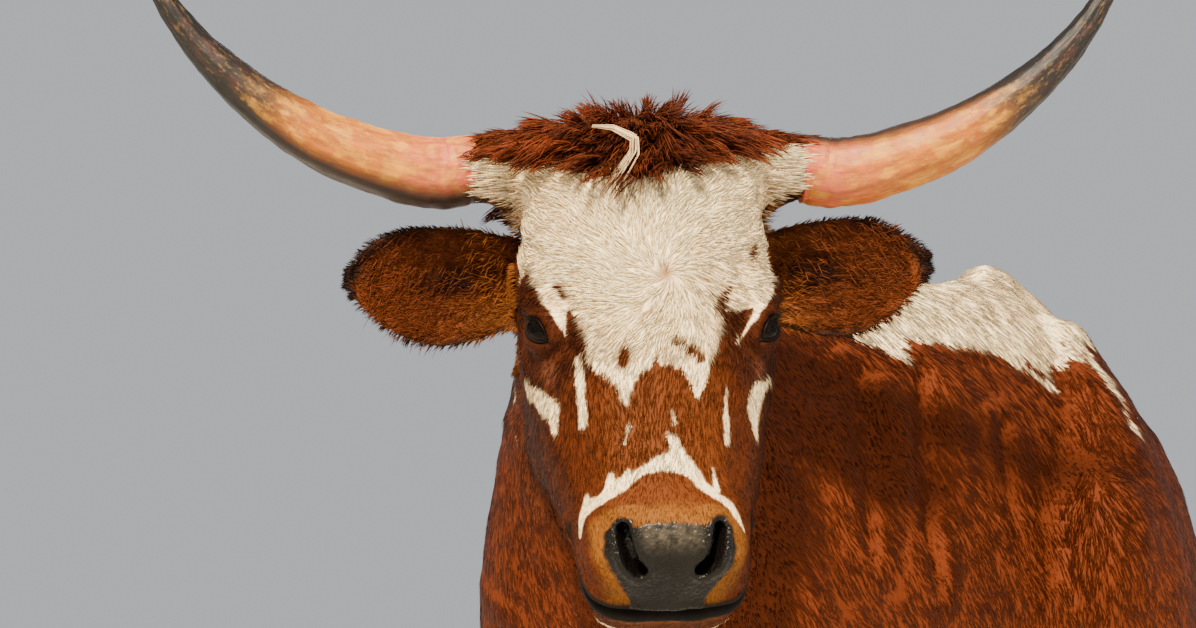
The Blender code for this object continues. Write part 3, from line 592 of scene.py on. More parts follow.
@dataclass(frozen=True)
class WetEye:
    """A cow's eye under its tear film: nearly black iris with a long level pupil, very glossy."""

    film_roughness: float = 0.03
    # Pupil, iris, its dark outer ring, and the white where it shows
    bands: Sequence[tuple[float, str]] = (
        (0.0, "#050405"), (0.3, "#060504"), (0.4, "#170e09"), (0.66, "#20140c"), (0.78, "#0c0806"),
        (0.9, "#3c2f28"), (1.0, "#5a4a40"),
    )

    def make(self) -> Material:
        """Builds the eye's material from the distance to the pupil.

        Returns:
            The material.
        """
        glossy = {"IOR": 1.376, "Roughness": 0.25, "Specular IOR Level": 0.05}
        film = {"Coat Weight": 0.18, "Coat Roughness": self.film_roughness, "Coat IOR": 1.376}
        made, tree, shader = fresh_material("wet_eye", glossy | film)
        gaze = add_node(tree, "Attribute", {"attribute_name": "from_pupil"}).outputs["Fac"]
        place = add_node(tree, "TexCoord").outputs["Object"]
        threads = add_node(tree, "TexNoise", {"Scale": 700.0, "Detail": 3.0}, {"Vector": place})
        wander = {"operation": "MULTIPLY_ADD", 1: 0.1}
        spread = add_node(tree, "Math", wander, {0: threads, 2: gaze})
        colours = add_node(tree, "ValToRGB", {}, {"Fac": spread})
        ramp(colours, self.bands)
        wire(tree, shader, {"Base Color": colours})
        return made


@dataclass(frozen=True)
class LidSkin:
    """Bare dark skin at the edge of a lid, kept moist by tears, so it shines in a thin line."""

    shade: str = "#0f0a08"
    roughness: float = 0.45

    def make(self) -> Material:
        """Builds the lid skin's material.

        Returns:
            The material.
        """
        moist = {"Roughness": self.roughness, "Specular IOR Level": 0.08}
        made, tree, shader = fresh_material("lid_skin", moist)
        place = add_node(tree, "TexCoord").outputs["Object"]
        pores = add_node(tree, "TexNoise", {"Scale": 900.0, "Detail": 2.0}, {"Vector": place})
        tone = add_node(tree, "MapRange", {"To Min": 0.7, "To Max": 1.3}, {"Value": pores})
        dark = {"operation": "SCALE", 0: linear(self.shade)}
        shaded = add_node(tree, "VectorMath", dark, {"Scale": tone})
        bump = add_node(tree, "Bump", {"Strength": 0.4, "Distance": 0.0003}, {"Height": pores})
        wire(tree, shader, {"Base Color": shaded, "Normal": bump})
        return made


# Meshes


def in_scene(name: str, data: bpy.types.ID) -> Object:
    """Puts a mesh, a light or a camera into the scene as an object."""
    made = bpy.data.objects.new(name, data)
    bpy.context.scene.collection.objects.link(made)
    return made


def dress(mesh: Mesh, *finishes: Material) -> None:
    """Shades a mesh smoothly and gives it its finishes.

    Args:
        mesh: The mesh.
        finishes: Its materials, in the order of their slots.
    """
    mesh.polygons.foreach_set("use_smooth", np.ones(len(mesh.polygons), bool))
    mesh.materials.clear()
    for finish in finishes:
        mesh.materials.append(finish)


def mesh_object(name: str, points: Floats, faces: Ints, material: Material) -> Object:
    """Makes a smooth-shaded object from faces that all have the same number of corners.

    Args:
        name: The object's name.
        points: The corners' places.
        faces: Corner numbers, one row to a face.
        material: Its finish.

    Returns:
        The new object, linked to the scene.
    """
    mesh = bpy.data.meshes.new(name)
    corners = faces.shape[1]
    mesh.vertices.add(len(points))
    mesh.vertices.foreach_set("co", np.ascontiguousarray(points, np.float32).ravel())
    mesh.loops.add(faces.size)
    mesh.loops.foreach_set("vertex_index", np.ascontiguousarray(faces, np.int32).ravel())
    mesh.polygons.add(len(faces))
    starts = np.arange(0, faces.size, corners, dtype=np.int32)
    mesh.polygons.foreach_set("loop_start", starts)
    mesh.update(calc_edges=True)
    mesh.validate()
    dress(mesh, material)
    return in_scene(name, mesh)


def places_of(mesh: Mesh) -> Floats:
    """The places of a mesh's corners."""
    flat = np.zeros(len(mesh.vertices) * 3, np.float32)
    mesh.vertices.foreach_get("co", flat)
    return flat.reshape(-1, 3).astype(float)


def normals_of(mesh: Mesh) -> Floats:
    """The normals at a mesh's corners."""
    flat = np.zeros(len(mesh.vertices) * 3, np.float32)
    mesh.vertex_normals.foreach_get("vector", flat)
    return flat.reshape(-1, 3).astype(float)


def set_places(mesh: Mesh, points: Floats) -> None:
    """Moves a mesh's corners."""
    mesh.vertices.foreach_set("co", np.ascontiguousarray(points, np.float32).ravel())
    mesh.update()


def edges_of(mesh: Mesh) -> Ints:
    """The two corners of each edge."""
    flat = np.zeros(len(mesh.edges) * 2, np.int32)
    mesh.edges.foreach_get("vertices", flat)
    return flat.reshape(-1, 2).astype(np.int64)


def add_values(mesh: Mesh, name: str, kind: str, values: Floats) -> None:
    """Writes one value to each corner of a mesh.

    Args:
        mesh: The mesh.
        name: The attribute's name.
        kind: FLOAT, FLOAT_VECTOR or FLOAT_COLOR.
        values: One number or row to a corner; colours have three numbers.
    """
    made = mesh.attributes.new(name, kind, "POINT")
    if kind == "FLOAT_COLOR":
        values = np.hstack([values, np.ones((len(values), 1))])
    key = {"FLOAT": "value", "FLOAT_VECTOR": "vector", "FLOAT_COLOR": "color"}[kind]
    made.data.foreach_set(key, np.ascontiguousarray(values, np.float32).ravel())


def beside(points: Floats, edges: Ints) -> Floats:
    """The mean place of each corner's neighbours.

    Args:
        points: The corners' places.
        edges: Pairs of corners.

    Returns:
        The mean places.
    """
    first, second = edges.T
    size = len(points)
    columns = []
    for column in points.T:
        total = np.bincount(first, column[second], minlength=size)
        columns.append(total + np.bincount(second, column[first], minlength=size))
    count = np.bincount(edges.ravel(), minlength=size)
    return np.column_stack(columns) / np.maximum(count, 1)[:, None]


def smoothed(points: Floats, edges: Ints, rounds: int, weight: Floats | float = 1.0) -> Floats:
    """Evens out bumps without shrinking the shape.

    Args:
        points: The corners' places.
        edges: Pairs of corners.
        rounds: How many times.
        weight: How much each corner takes part, from 0 to 1.

    Returns:
        The new places.
    """
    share = np.asarray(weight, float).reshape(-1, 1)
    for _ in range(rounds):
        for step in (0.52, -0.54):
            points = points + (beside(points, edges) - points) * step * share
    return points


def flattened(points: Floats, edges: Ints, rounds: int, weight: Floats) -> Floats:
    """Melts bumps away, letting the shape shrink there.

    Args:
        points: The corners' places.
        edges: Pairs of corners.
        rounds: How many times.
        weight: Where it melts, from 0 to 1.

    Returns:
        The new places.
    """
    share = weight.reshape(-1, 1) * 0.6
    for _ in range(rounds):
        points = points + (beside(points, edges) - points) * share
    return points


def applied(item: Object) -> Object:
    """Bakes an object's modifiers into its mesh.

    Args:
        item: The object.

    Returns:
        The same object.
    """
    bpy.context.view_layer.update()
    state = bpy.context.evaluated_depsgraph_get()
    done = bpy.data.meshes.new_from_object(item.evaluated_get(state))
    item.modifiers.clear()
    item.data = done
    return item


def node_copy(names: Iterable[str], swell: float = 0.0) -> Object:
    """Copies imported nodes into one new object.

    Args:
        names: The nodes' names.
        swell: How far the surface moves out, in metres.

    Returns:
        The object, with shared corners merged.
    """
    shape = bmesh.new()
    for name in names:
        shape.from_mesh(bpy.data.objects[name].data)
    bmesh.ops.remove_doubles(shape, verts=shape.verts, dist=1e-5)
    shape.normal_update()
    if swell:
        for corner in shape.verts:
            corner.co += corner.normal * swell
    mesh = bpy.data.meshes.new("copy")
    shape.to_mesh(mesh)
    shape.free()
    return in_scene("copy", mesh)


def joined(items: Sequence[Object]) -> Object:
    """Puts the meshes of several objects into the first and removes the others.

    Args:
        items: The objects.

    Returns:
        The first object.
    """
    shape = bmesh.new()
    for item in items:
        shape.from_mesh(item.data)
    shape.to_mesh(items[0].data)
    shape.free()
    for item in items[1:]:
        bpy.data.objects.remove(item)
    return items[0]


def ball(centre: Floats, axes: Floats, radii: Point, fineness: int) -> Object:
    """Makes an ellipsoid.

    Args:
        centre: Its middle.
        axes: Its three axes, one to a column.
        radii: Its radius along each axis.
        fineness: How often its faces are split.

    Returns:
        The object.
    """
    shape = bmesh.new()
    bmesh.ops.create_icosphere(shape, subdivisions=fineness, radius=1.0)
    mesh = bpy.data.meshes.new("ball")
    shape.to_mesh(mesh)
    shape.free()
    set_places(mesh, centre + (places_of(mesh) * np.array(radii)) @ axes.T)
    return in_scene("ball", mesh)


def lofted(rings: Floats) -> tuple[Floats, Ints]:
    """Skins a row of rings and closes both ends.

    Args:
        rings: Places, by ring and by place round the ring.

    Returns:
        The corners and triangles.
    """
    count, size, _ = rings.shape
    points = np.vstack([rings.reshape(-1, 3), rings[0].mean(axis=0), rings[-1].mean(axis=0)])
    here = np.arange(size)
    following = (here + 1) % size
    faces = []
    for k in range(count - 1):
        a, b = k * size, (k + 1) * size
        faces.append(np.column_stack([a + here, a + following, b + following]))
        faces.append(np.column_stack([a + here, b + following, b + here]))
    first, last = count * size, count * size + 1
    end = (count - 1) * size
    faces.append(np.column_stack([following, here, np.full(size, first)]))
    faces.append(np.column_stack([end + here, end + following, np.full(size, last)]))
    return points, np.vstack(faces)


def curved(rows: Sequence[Sequence[float]], steps: int) -> Floats:
    """Runs a smooth curve through rows of numbers.

    Args:
        rows: The rows that it passes through.
        steps: How many steps it takes between two rows.

    Returns:
        The rows along the curve.
    """
    table = np.array(rows, float)
    padded = np.vstack([2 * table[0] - table[1], table, 2 * table[-1] - table[-2]])
    made = []
    for k in range(1, len(padded) - 2):
        before, here, there, after = padded[k - 1 : k + 3]
        for step in range(steps):
            t = step / steps
            pull = (there - before) * t
            bend = (2 * before - 5 * here + 4 * there - after) * t**2
            twist = (3 * here - before - 3 * there + after) * t**3
            made.append(0.5 * (2 * here + pull + bend + twist))
    made.append(table[-1])
    return np.array(made)


# Places on the animal


@dataclass(frozen=True)
class EyeSocket:
    """One eye's middle and axes: along the lids, across them, and out of the eye."""

    side: Side
    stance: Stance
    look: Point = (0.71, 0.67, 0.2)
    opening_length: float = 0.016
    opening_height: float = 0.0088
    slant: float = -0.9

    def centre(self) -> Floats:
        """The eyeball's middle."""
        return np.mean([list(c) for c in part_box(f"eye_{self.side.word}")], axis=0)

    def axes(self) -> Floats:
        """The eye's axes, one to a column.

        Returns:
            A matrix of three columns.
        """
        head = self.stance.axes()
        turn = self.side.value
        out = unit(head @ np.array([self.look[0] * turn, self.look[1], self.look[2]]))
        down = head @ np.array([0, -0.35, 1.0])
        along = unit(down - out * (down @ out))
        along = unit(along + np.cross(out, along) * self.slant * turn)
        return np.column_stack([along, np.cross(out, along), out])

    def to_eye(self, points: Floats) -> Floats:
        """Places in the eye's axes."""
        return (points - self.centre()) @ self.axes()

    def edge_height(self, along: Floats) -> Floats:
        """Half the height of the opening at a place along it."""
        share = np.clip(1 - (along / self.opening_length) ** 2, 0, 1)
        return self.opening_height * share**0.7

    def beyond_edge(self, local: Floats) -> Floats:
        """How far a place in the eye's axes lies outside the opening's edge.

        Args:
            local: Places in the eye's axes.

        Returns:
            Metres, negative within the opening.
        """
        along, across = local[:, 0], np.abs(local[:, 1])
        within = across - self.edge_height(along)
        past = np.hypot(np.abs(along) - self.opening_length, across)
        return np.where(np.abs(along) < self.opening_length, within, past)


@dataclass(frozen=True)
class EarPlace:
    """One ear's root and axes: out to its tip, across it, and the way it faces."""

    side: Side
    stance: Stance
    root: Point = (0.104, -0.112, 0.12)
    length: float = 0.2
    half_width: float = 0.062
    swing: tuple[float, float] = (0.08, -0.05)
    # Shares of the length, and the shares of the greatest half width there
    outline: Table = (
        (0.0, 0.55), (0.12, 0.68), (0.25, 0.82), (0.4, 0.95), (0.58, 1.0),
        (0.7, 0.94), (0.8, 0.8), (0.9, 0.56), (0.97, 0.3), (1.02, 0.1),
    )

    def axes(self) -> Floats:
        """The ear's axes, one to a column.

        Returns:
            A matrix of three columns.
        """
        head = self.stance.axes()
        turn = self.side.value
        swing = self.swing[0] if turn > 0 else self.swing[1]
        out = unit(head @ np.array([turn * 0.985, swing, 0.03]))
        facing = unit(head @ np.array([-turn * 0.1, 0.9, 0.38]))
        across = unit(np.cross(out, facing)) * turn
        facing = unit(np.cross(across, out)) * turn
        return np.column_stack([out, across, facing])

    def to_ear(self, points: Floats) -> Floats:
        """Places in the ear's axes, from its root."""
        start = np.array([self.root[0] * self.side.value, self.root[1], self.root[2]])
        return (points - self.stance.from_head(start)) @ self.axes()

    def rim_share(self, local: Floats) -> Floats:
        """0 along the ear's middle line, 1 at its rim.

        Args:
            local: Places in the ear's axes.

        Returns:
            Shares, a little above 1 past the rim.
        """
        along = np.clip((local[:, 0] + 0.012) / self.length, 0, 1.02)
        shares, widths = np.array(self.outline).T
        wide = np.interp(along, shares, widths)
        sideways = np.abs(local[:, 1]) / (self.half_width * wide)
        return np.maximum(sideways, ease(0.9, 1.0, along))


@dataclass(frozen=True)
class Places:
    """A set of places on the animal, in each set of axes that the coat and the markings use."""

    points: Floats
    head: Floats
    body: Floats
    headness: Floats
    ear: Floats

    @classmethod
    def at(cls, points: Floats, stance: Stance) -> "Places":
        """Measures places in every set of axes.

        Args:
            points: Places in the model's axes.
            stance: The animal's stance.

        Returns:
            The places.
        """
        ears = np.zeros(len(points))
        for side in Side:
            place = EarPlace(side, stance)
            local = place.to_ear(points)
            inside = ease(0.01, 0.03, local[:, 0]) * (np.abs(local[:, 1]) < 0.085)
            inside = inside * (np.abs(local[:, 2] + 0.02) < 0.055)
            ears = np.maximum(ears, inside)
        return cls(points, stance.to_head(points), stance.to_body(points), stance.headness(points), ears)


Picker = Callable[[Places], Flags]


# Markings


@dataclass(frozen=True)
class Markings:
    """Red-brown and white coat, the face's blaze, the nose leather and the darker places.

    Tables are written in millimetres from the poll, in the head's axes, or for the saddle and
    the body's strokes in the body's. Each row of a stroke ends with its half width.
    """

    stance: Stance
    red: str = "#5a260c"
    face_red: str = "#5b2c0d"
    dark_red: str = "#381706"
    white: str = "#ffe0b0"
    tan: str = "#744518"
    leather: str = "#100d08"
    # Pale colour laid on the nose leather's top: a painted highlight standing for its glints
    dry_leather: str = "#4d4538"
    lip: str = "#15110e"
    bare_lid: str = "#6b3d28"
    ear_red: str = "#5a2b11"
    ear_rim: str = "#1e100a"
    gold: str = "#714220"
    cheek_red: str = "#4a1d05"

    blaze: Table = metres((
        (-200, 20), (-167, 26), (-125, 40), (-84, 52), (-49, 75), (-9, 80), (42, 66), (98, 30), (161, 16),
        (200, 10), (200, 70), (150, 85), (135, 125), (124, 165), (117, 194), (98, 225), (78, 248),
        (90, 230), (98, 217), (97, 210), (77, 217), (66, 222), (64, 234), (60, 251), (51, 274), (46, 290),
        (35, 312), (27, 295), (20, 283), (2, 281), (-5, 271), (-10, 285), (-18, 287), (-26, 294),
        (-30, 311), (-35, 320), (-39, 306), (-43, 292), (-56, 282), (-66, 268), (-68, 246), (-74, 229),
        (-81, 214), (-86, 216), (-87, 239), (-96, 227), (-107, 207), (-115, 185), (-120, 155),
        (-128, 122), (-150, 88), (-200, 80),
    ))
    white_strokes: Sequence[Table] = metres((
        # Below the eyes
        ((-120, -94, 254, 5), (-110, -74, 280, 10)),
        ((-110, -74, 280, 10), (-101, -60, 300, 11), (-99, -64, 318, 5)),
        ((113, -70, 264, 5), (101, -56, 284, 10)),
        ((101, -56, 284, 10), (96, -52, 303, 12), (99, -67, 328, 3)),
        ((-76, -21, 265, 1.5), (-74, -27, 292, 3.5), (-73, -36, 325, 4)),
        ((65, -22, 298, 2), (62, -25, 324, 3.8), (62, -27, 351, 3)),
        # The band over the nose, and the spurs on its upper edge
        ((-80, -53, 432, 3), (-78, -46, 421, 6), (-74, -38, 412, 6)),
        ((-74, -38, 412, 6), (-63, -23, 412, 4), (-52, -16, 406, 7)),
        ((-52, -16, 406, 7), (-41, -12, 401, 6), (-30, -9, 394, 3)),
        ((-30, -9, 394, 3), (-19, -7, 388, 4), (-6, -5, 383, 7)),
        ((-6, -5, 383, 7), (9, -5, 381, 10), (17, -5, 386, 8)),
        ((17, -5, 386, 8), (26, -7, 395, 6.5), (32, -8, 404, 6)),
        ((32, -8, 404, 6), (44, -10, 414, 4), (57, -17, 422, 4)),
        ((57, -17, 422, 4), (66, -23, 434, 3), (70, -30, 441, 2)),
        ((11, -6, 374, 6), (8, -7, 360, 4), (3, -7, 353, 2)),
        ((-40, -11, 399, 4), (-36, -11, 389, 1)),
        ((-53, -17, 402, 4), (-51, -19, 389, 1)),
        ((-75, -40, 412, 5), (-74, -41, 401, 1)),
        ((46, -13, 408, 4), (44, -15, 384, 1)),
        ((-33, -12, 341, 1.8), (-37, -13, 359, 1)),
        ((8, -7, 329, 1.2), (10, -7, 339, 1.2)),
    ))
    red_strokes: Sequence[Table] = metres((
        ((-93, -9, 190, 3.2), (-88, -9, 199, 2.8)), ((75, -3, 195, 3.5), (62, -3, 221, 4.2)),
        ((104, -16, 145, 6.4), (102, -14, 153, 6)), ((14, 0, 258, 3), (40, -6, 271, 4.2)),
        ((-32, -4, 268, 5.5), (-35, -5, 277, 5)),
    ))
    pad_outline: Table = metres((
        (-60, 446), (-51, 444), (-34, 449), (-20, 447), (-1, 446), (17, 447), (30, 449), (44, 443),
        (55, 447), (60, 461), (58, 476), (48, 486), (42, 540), (-36, 540), (-46, 488), (-54, 480),
        (-62, 465),
    ))
    # How far out from the face, and half the leather's width there
    pad_widths: Table = metres(((-80, 31), (-60, 36), (-40, 47), (-20, 64)))
    mouth_level: float = -0.079
    nostril: Table = metres(((46, -4, 456), (42, -14, 465), (36, -24, 474), (29, -30, 479)))
    nostril_wing: float = 0.0125
    # Places along the back, and how high the saddle's lower edge stands there
    saddle_edge: Table = metres((
        (-700, 1200), (-675, 1168), (-662, 1152), (-635, 1182), (-600, 1176), (-562, 1174), (-523, 1163),
        (-477, 1157), (-437, 1170), (-400, 1188), (-300, 1225), (-100, 1330),
    ))
    saddle_gap: Table = metres(((100, -408, 1196, 6), (124, -430, 1165, 12), (150, -455, 1120, 15)))
    body_strokes: Sequence[Table] = metres((
        # The saddle's strip and streak, the two flanks, the tail head
        ((118, -380, 1205, 5), (146, -410, 1165, 8), (188, -450, 1074, 2)),
        ((10, -548, 1182, 7), (45, -515, 1158, 6), (77, -492, 1136, 3)),
        ((240, 440, 860, 50), (220, 520, 720, 60)),
        ((-240, 360, 900, 60), (-220, 500, 740, 80)),
        ((0, 720, 1270, 45), (0, 860, 1230, 60)),
    ))
    # The lie of the hair over the shoulder, which the edges of the patches follow
    shoulder_lie: Point = (0.25, 0.45, -0.86)
    # The middle of the left eye's lids and of its lower lid, in the head's axes
    lids_middle: Point = (0.108, -0.03, 0.236)
    lower_lid: Point = (0.106, -0.045, 0.266)

    def ragged(self, places: Places) -> Floats:
        """How far an edge between two colours wanders, in metres, in tongues along the hair.

        Args:
            places: Where on the animal.

        Returns:
            The offsets in metres.
        """
        stretched = places.head * np.array([1.0, 1.0, 0.3])
        lie = np.array(self.shoulder_lie)
        body = places.body - 0.75 * (places.body @ lie)[:, None] * lie
        local = np.where(places.headness[:, None] > 0.5, stretched, body)
        coarse = 0.0022 + 0.0058 * (1 - places.headness)
        fine = 0.0016 + 0.0069 * (1 - places.headness)
        return patchy(local, 0.02, 3) * coarse + patchy(local, 0.0055, 4) * fine

    def from_nostril(self, head: Floats, side: Side) -> tuple[Floats, Floats]:
        """How far places are from a nostril's slit, seen the way in, and that way.

        Args:
            head: The places in the head's axes.
            side: Which nostril.

        Returns:
            The gaps, large far from the nose, and the way into the nostril.
        """
        into = unit(np.array([[-0.25 * side.value, -0.62, -0.72]]))[0]
        line = np.array([(x * side.value, y, z) for x, y, z in self.nostril])
        flat_line = line - (line @ into)[:, None] * into
        flat = head - (head @ into)[:, None] * into
        gap, _ = distance_to_line(flat, np.column_stack([flat_line, np.ones(len(line))]))
        far = lengths(head - line.mean(axis=0)) > 0.045
        return np.where(far, 1.0, gap), into

    def pad_depth(self, places: Places) -> Floats:
        """How deep a place lies in the bare nose leather, negative outside.

        Args:
            places: Where on the animal.

        Returns:
            The depths in metres.
        """
        head = places.head
        depth = inside_outline(head[:, [0, 2]], self.pad_outline)
        levels, widths = np.array(self.pad_widths).T
        narrowed = np.interp(head[:, 1], levels, widths) - np.abs(head[:, 0] + 0.001)
        above_mouth = head[:, 1] - (self.mouth_level + 0.006)
        edge = np.minimum(np.minimum(depth, narrowed), above_mouth)
        for side in Side:
            edge = np.maximum(edge, self.nostril_wing - self.from_nostril(head, side)[0])
        return edge + patchy(head, 0.006, 9) * 0.0012

    def pad(self, places: Places) -> Floats:
        """1 on the bare nose leather, 0 on hair."""
        return ease(-0.0022, 0.0016, self.pad_depth(places))

    def face_white(self, places: Places) -> Floats:
        """How deep a place on the head lies in white hair, negative outside.

        Args:
            places: Where on the animal.

        Returns:
            The depths in metres.
        """
        head = places.head
        blaze = np.minimum(inside_outline(head[:, [0, 2]], self.blaze), head[:, 1] + 0.075)
        for line in self.red_strokes:
            blaze = np.minimum(blaze, -inside_stroke(head, line) - 0.0016)
        white = blaze
        for line in self.white_strokes:
            white = np.maximum(white, inside_stroke(head, line))
        chin = np.minimum(head[:, 2] - 0.44, self.mouth_level - 0.03 - head[:, 1])
        under = -0.222 - 0.8 * np.maximum(head[:, 2] - 0.33, 0) - head[:, 1]
        throat = np.minimum(under, head[:, 2] - 0.16)
        return np.maximum(np.maximum(white, chin), throat * 0.5)

    def body_white(self, places: Places) -> Floats:
        """How deep a place on the body lies in white hair, negative outside.

        Args:
            places: Where on the animal.

        Returns:
            The depths in metres.
        """
        body = places.body
        x, y, z = body.T
        # The saddle over the withers, its lower edge falling forward down the neck
        edge = np.array(self.saddle_edge)
        lower = np.interp(y, edge[:, 0], edge[:, 1])
        saddle = np.minimum(z - lower, np.minimum(y + 0.7, -0.06 - y))
        saddle = np.minimum(saddle, -inside_stroke(body, self.saddle_gap))
        belly = np.minimum(0.665 + 0.05 * np.cos(y * 9.0) - z, 0.3 - np.abs(x))
        belly = np.where((y > -0.3) & (y < 0.62), belly, -0.05)
        legs = np.where(y < 0.2, 0.34, 0.42) - z + 0.02 * np.sin(x * 60 + y * 17)
        switch = np.where(y > 0.9, 0.58 - z, -0.05)
        strokes = [inside_stroke(body, line) for line in self.body_strokes]
        return np.maximum.reduce([saddle, belly, legs, switch, *strokes])

    def whiteness(self, places: Places) -> Floats:
        """1 on white hair, 0 on red.

        Args:
            places: Where on the animal.

        Returns:
            Shares from 0 to 1.
        """
        on_head = self.face_white(places)
        on_body = self.body_white(places)
        depth = np.where(places.headness > 0.5, on_head, on_body)
        depth = np.where(places.ear > 0.5, -0.02, depth)
        return ease(-0.0012, 0.0012, depth + self.ragged(places))

    def colours(self, places: Places) -> Floats:
        """The coat's linear colours.

        Args:
            places: Where on the animal.

        Returns:
            Three numbers to a place.
        """
        head, body = places.head, places.body
        tone = patchy(body, 0.09, 1) * 0.5 + patchy(body, 0.022, 2) * 0.5
        tones = tone[:, None]
        red = tint(self.red) * (1 + 0.16 * tones)
        face = tint(self.face_red) * (1 + 0.14 * tones)
        hair = mixed(red, face, places.headness)
        # The face's sides are darker and redder: partly the hair's own colour, partly painted shade where
        # the face turns from the light
        face_side_tone_and_shade = ease(0.04, 0.078, np.abs(head[:, 0])) * places.headness * 0.7
        hair = mixed(hair, tint(self.cheek_red), face_side_tone_and_shade)
        hair = hair * (1 - ease(0.75, 0.3, body[:, 2])[:, None] * 0.35)
        around, lids = np.zeros(len(head)), []
        for side in Side:
            centre = np.array(self.lids_middle) * (side.value, 1, 1)
            gap = lengths((head - centre) * np.array([1, 1, 0.85]))
            around = np.maximum(around, ease(0.07, 0.03, gap))
            lower_lid = np.array(self.lower_lid) * (side.value, 1, 1)
            lids.append(ease(0.018, 0.004, lengths(head - lower_lid)) * 0.6)
        # The head is darker further back from the face: partly the hair's colour, partly painted shade on
        # its turned-away sides
        cheek = ease(-0.03, -0.1, head[:, 1]) * 0.45
        around = np.maximum(around * 0.85, cheek * places.headness)
        hair = mixed(hair, tint(self.dark_red), around)
        for lid in lids:
            hair = mixed(hair, tint(self.bare_lid), lid)
        by_pad = self.pad_depth(places) + patchy(head, 0.02, 5) * 0.005
        muzzle = ease(-0.026, -0.008, by_pad) * places.headness
        hair = mixed(hair, tint(self.tan) * (1 + 0.2 * tones), muzzle)
        hair = self.on_ears(places, hair, tones)
        from_whorl = np.hypot(head[:, 0] - 0.01, (head[:, 2] - 0.187) * 0.8)
        parting = ease(0.015, 0.001, from_whorl) * places.headness * 0.9
        pale = mixed(tint(self.white) * (1 + 0.07 * tones), tint(self.tan), parting)
        hair = mixed(hair, pale, self.whiteness(places))
        hair = mixed(hair, tint(self.lip), self.lips(places))
        leather = tint(self.leather) * (1 + 0.35 * patchy(head, 0.009, 8)[:, None])
        # The leather's top is painted paler: a painted highlight standing for the glints on the pad
        painted_top_glint = ease(0.474, 0.456, head[:, 2]) * ease(0.034, 0.02, np.abs(head[:, 0]))
        painted_top_glint = painted_top_glint * np.clip(0.55 + 0.45 * patchy(head, 0.0035, 10), 0, 1)
        leather = mixed(leather, tint(self.dry_leather), painted_top_glint)
        return np.clip(mixed(hair, leather, self.pad(places)), 0.002, 0.95)

    def lips(self, places: Places) -> Floats:
        """1 on the dark edges of the mouth.

        Args:
            places: Where on the animal.

        Returns:
            Shares from 0 to 1.
        """
        head = places.head
        gap = np.abs(head[:, 1] - self.mouth_level)
        half = 0.0025 + 0.0055 * ease(0.43, 0.48, head[:, 2])
        return ease(half + 0.005, half, gap) * ease(0.395, 0.415, head[:, 2])

    def on_ears(self, places: Places, hair: Floats, tones: Floats) -> Floats:
        """Colours the ears: dark red, nearly black round the rim, gold low down by the head that is
        partly painted light, and painted shade in the hollow.

        Args:
            places: Where on the animal.
            hair: The colours so far.
            tones: Small differences in depth.

        Returns:
            The new colours.
        """
        for side in Side:
            ear = EarPlace(side, self.stance)
            local = ear.to_ear(places.points)
            near = (np.sign(places.head[:, 0]) == side.value) & (places.ear > 0)
            reach = ear.rim_share(local)
            rim = ease(0.74, 1.02, reach + 0.08 * patchy(places.points, 0.012, 14))
            # Gold hair near the ear's root, kept to its lower half: partly the hair's own colour, partly
            # painted light on the lit lower part
            low = ease(0.2, 0.75, reach * np.sign(local[:, 1]))
            golden = low * ease(0.1, 0.03, local[:, 0]) * ease(0.006, 0.034, local[:, 0])
            # The ear's hollow is darkened: painted shade in the recess
            wander = 0.35 * patchy(places.points, 0.016, 15)
            hollow = np.hypot((local[:, 0] - 0.082) / 0.046, (local[:, 1] + 0.006) / 0.022)
            hollow = ease(1.25, 0.15, hollow + wander) * 0.82
            shade = mixed(tint(self.ear_red) * (1 + 0.25 * tones), tint(self.gold), golden * 0.8)
            shade = shade * (1 - hollow)[:, None]
            shade = mixed(shade, tint(self.ear_rim), rim * 0.9)
            hair = mixed(hair, shade, places.ear * near)
        return hair


# The lie of the coat


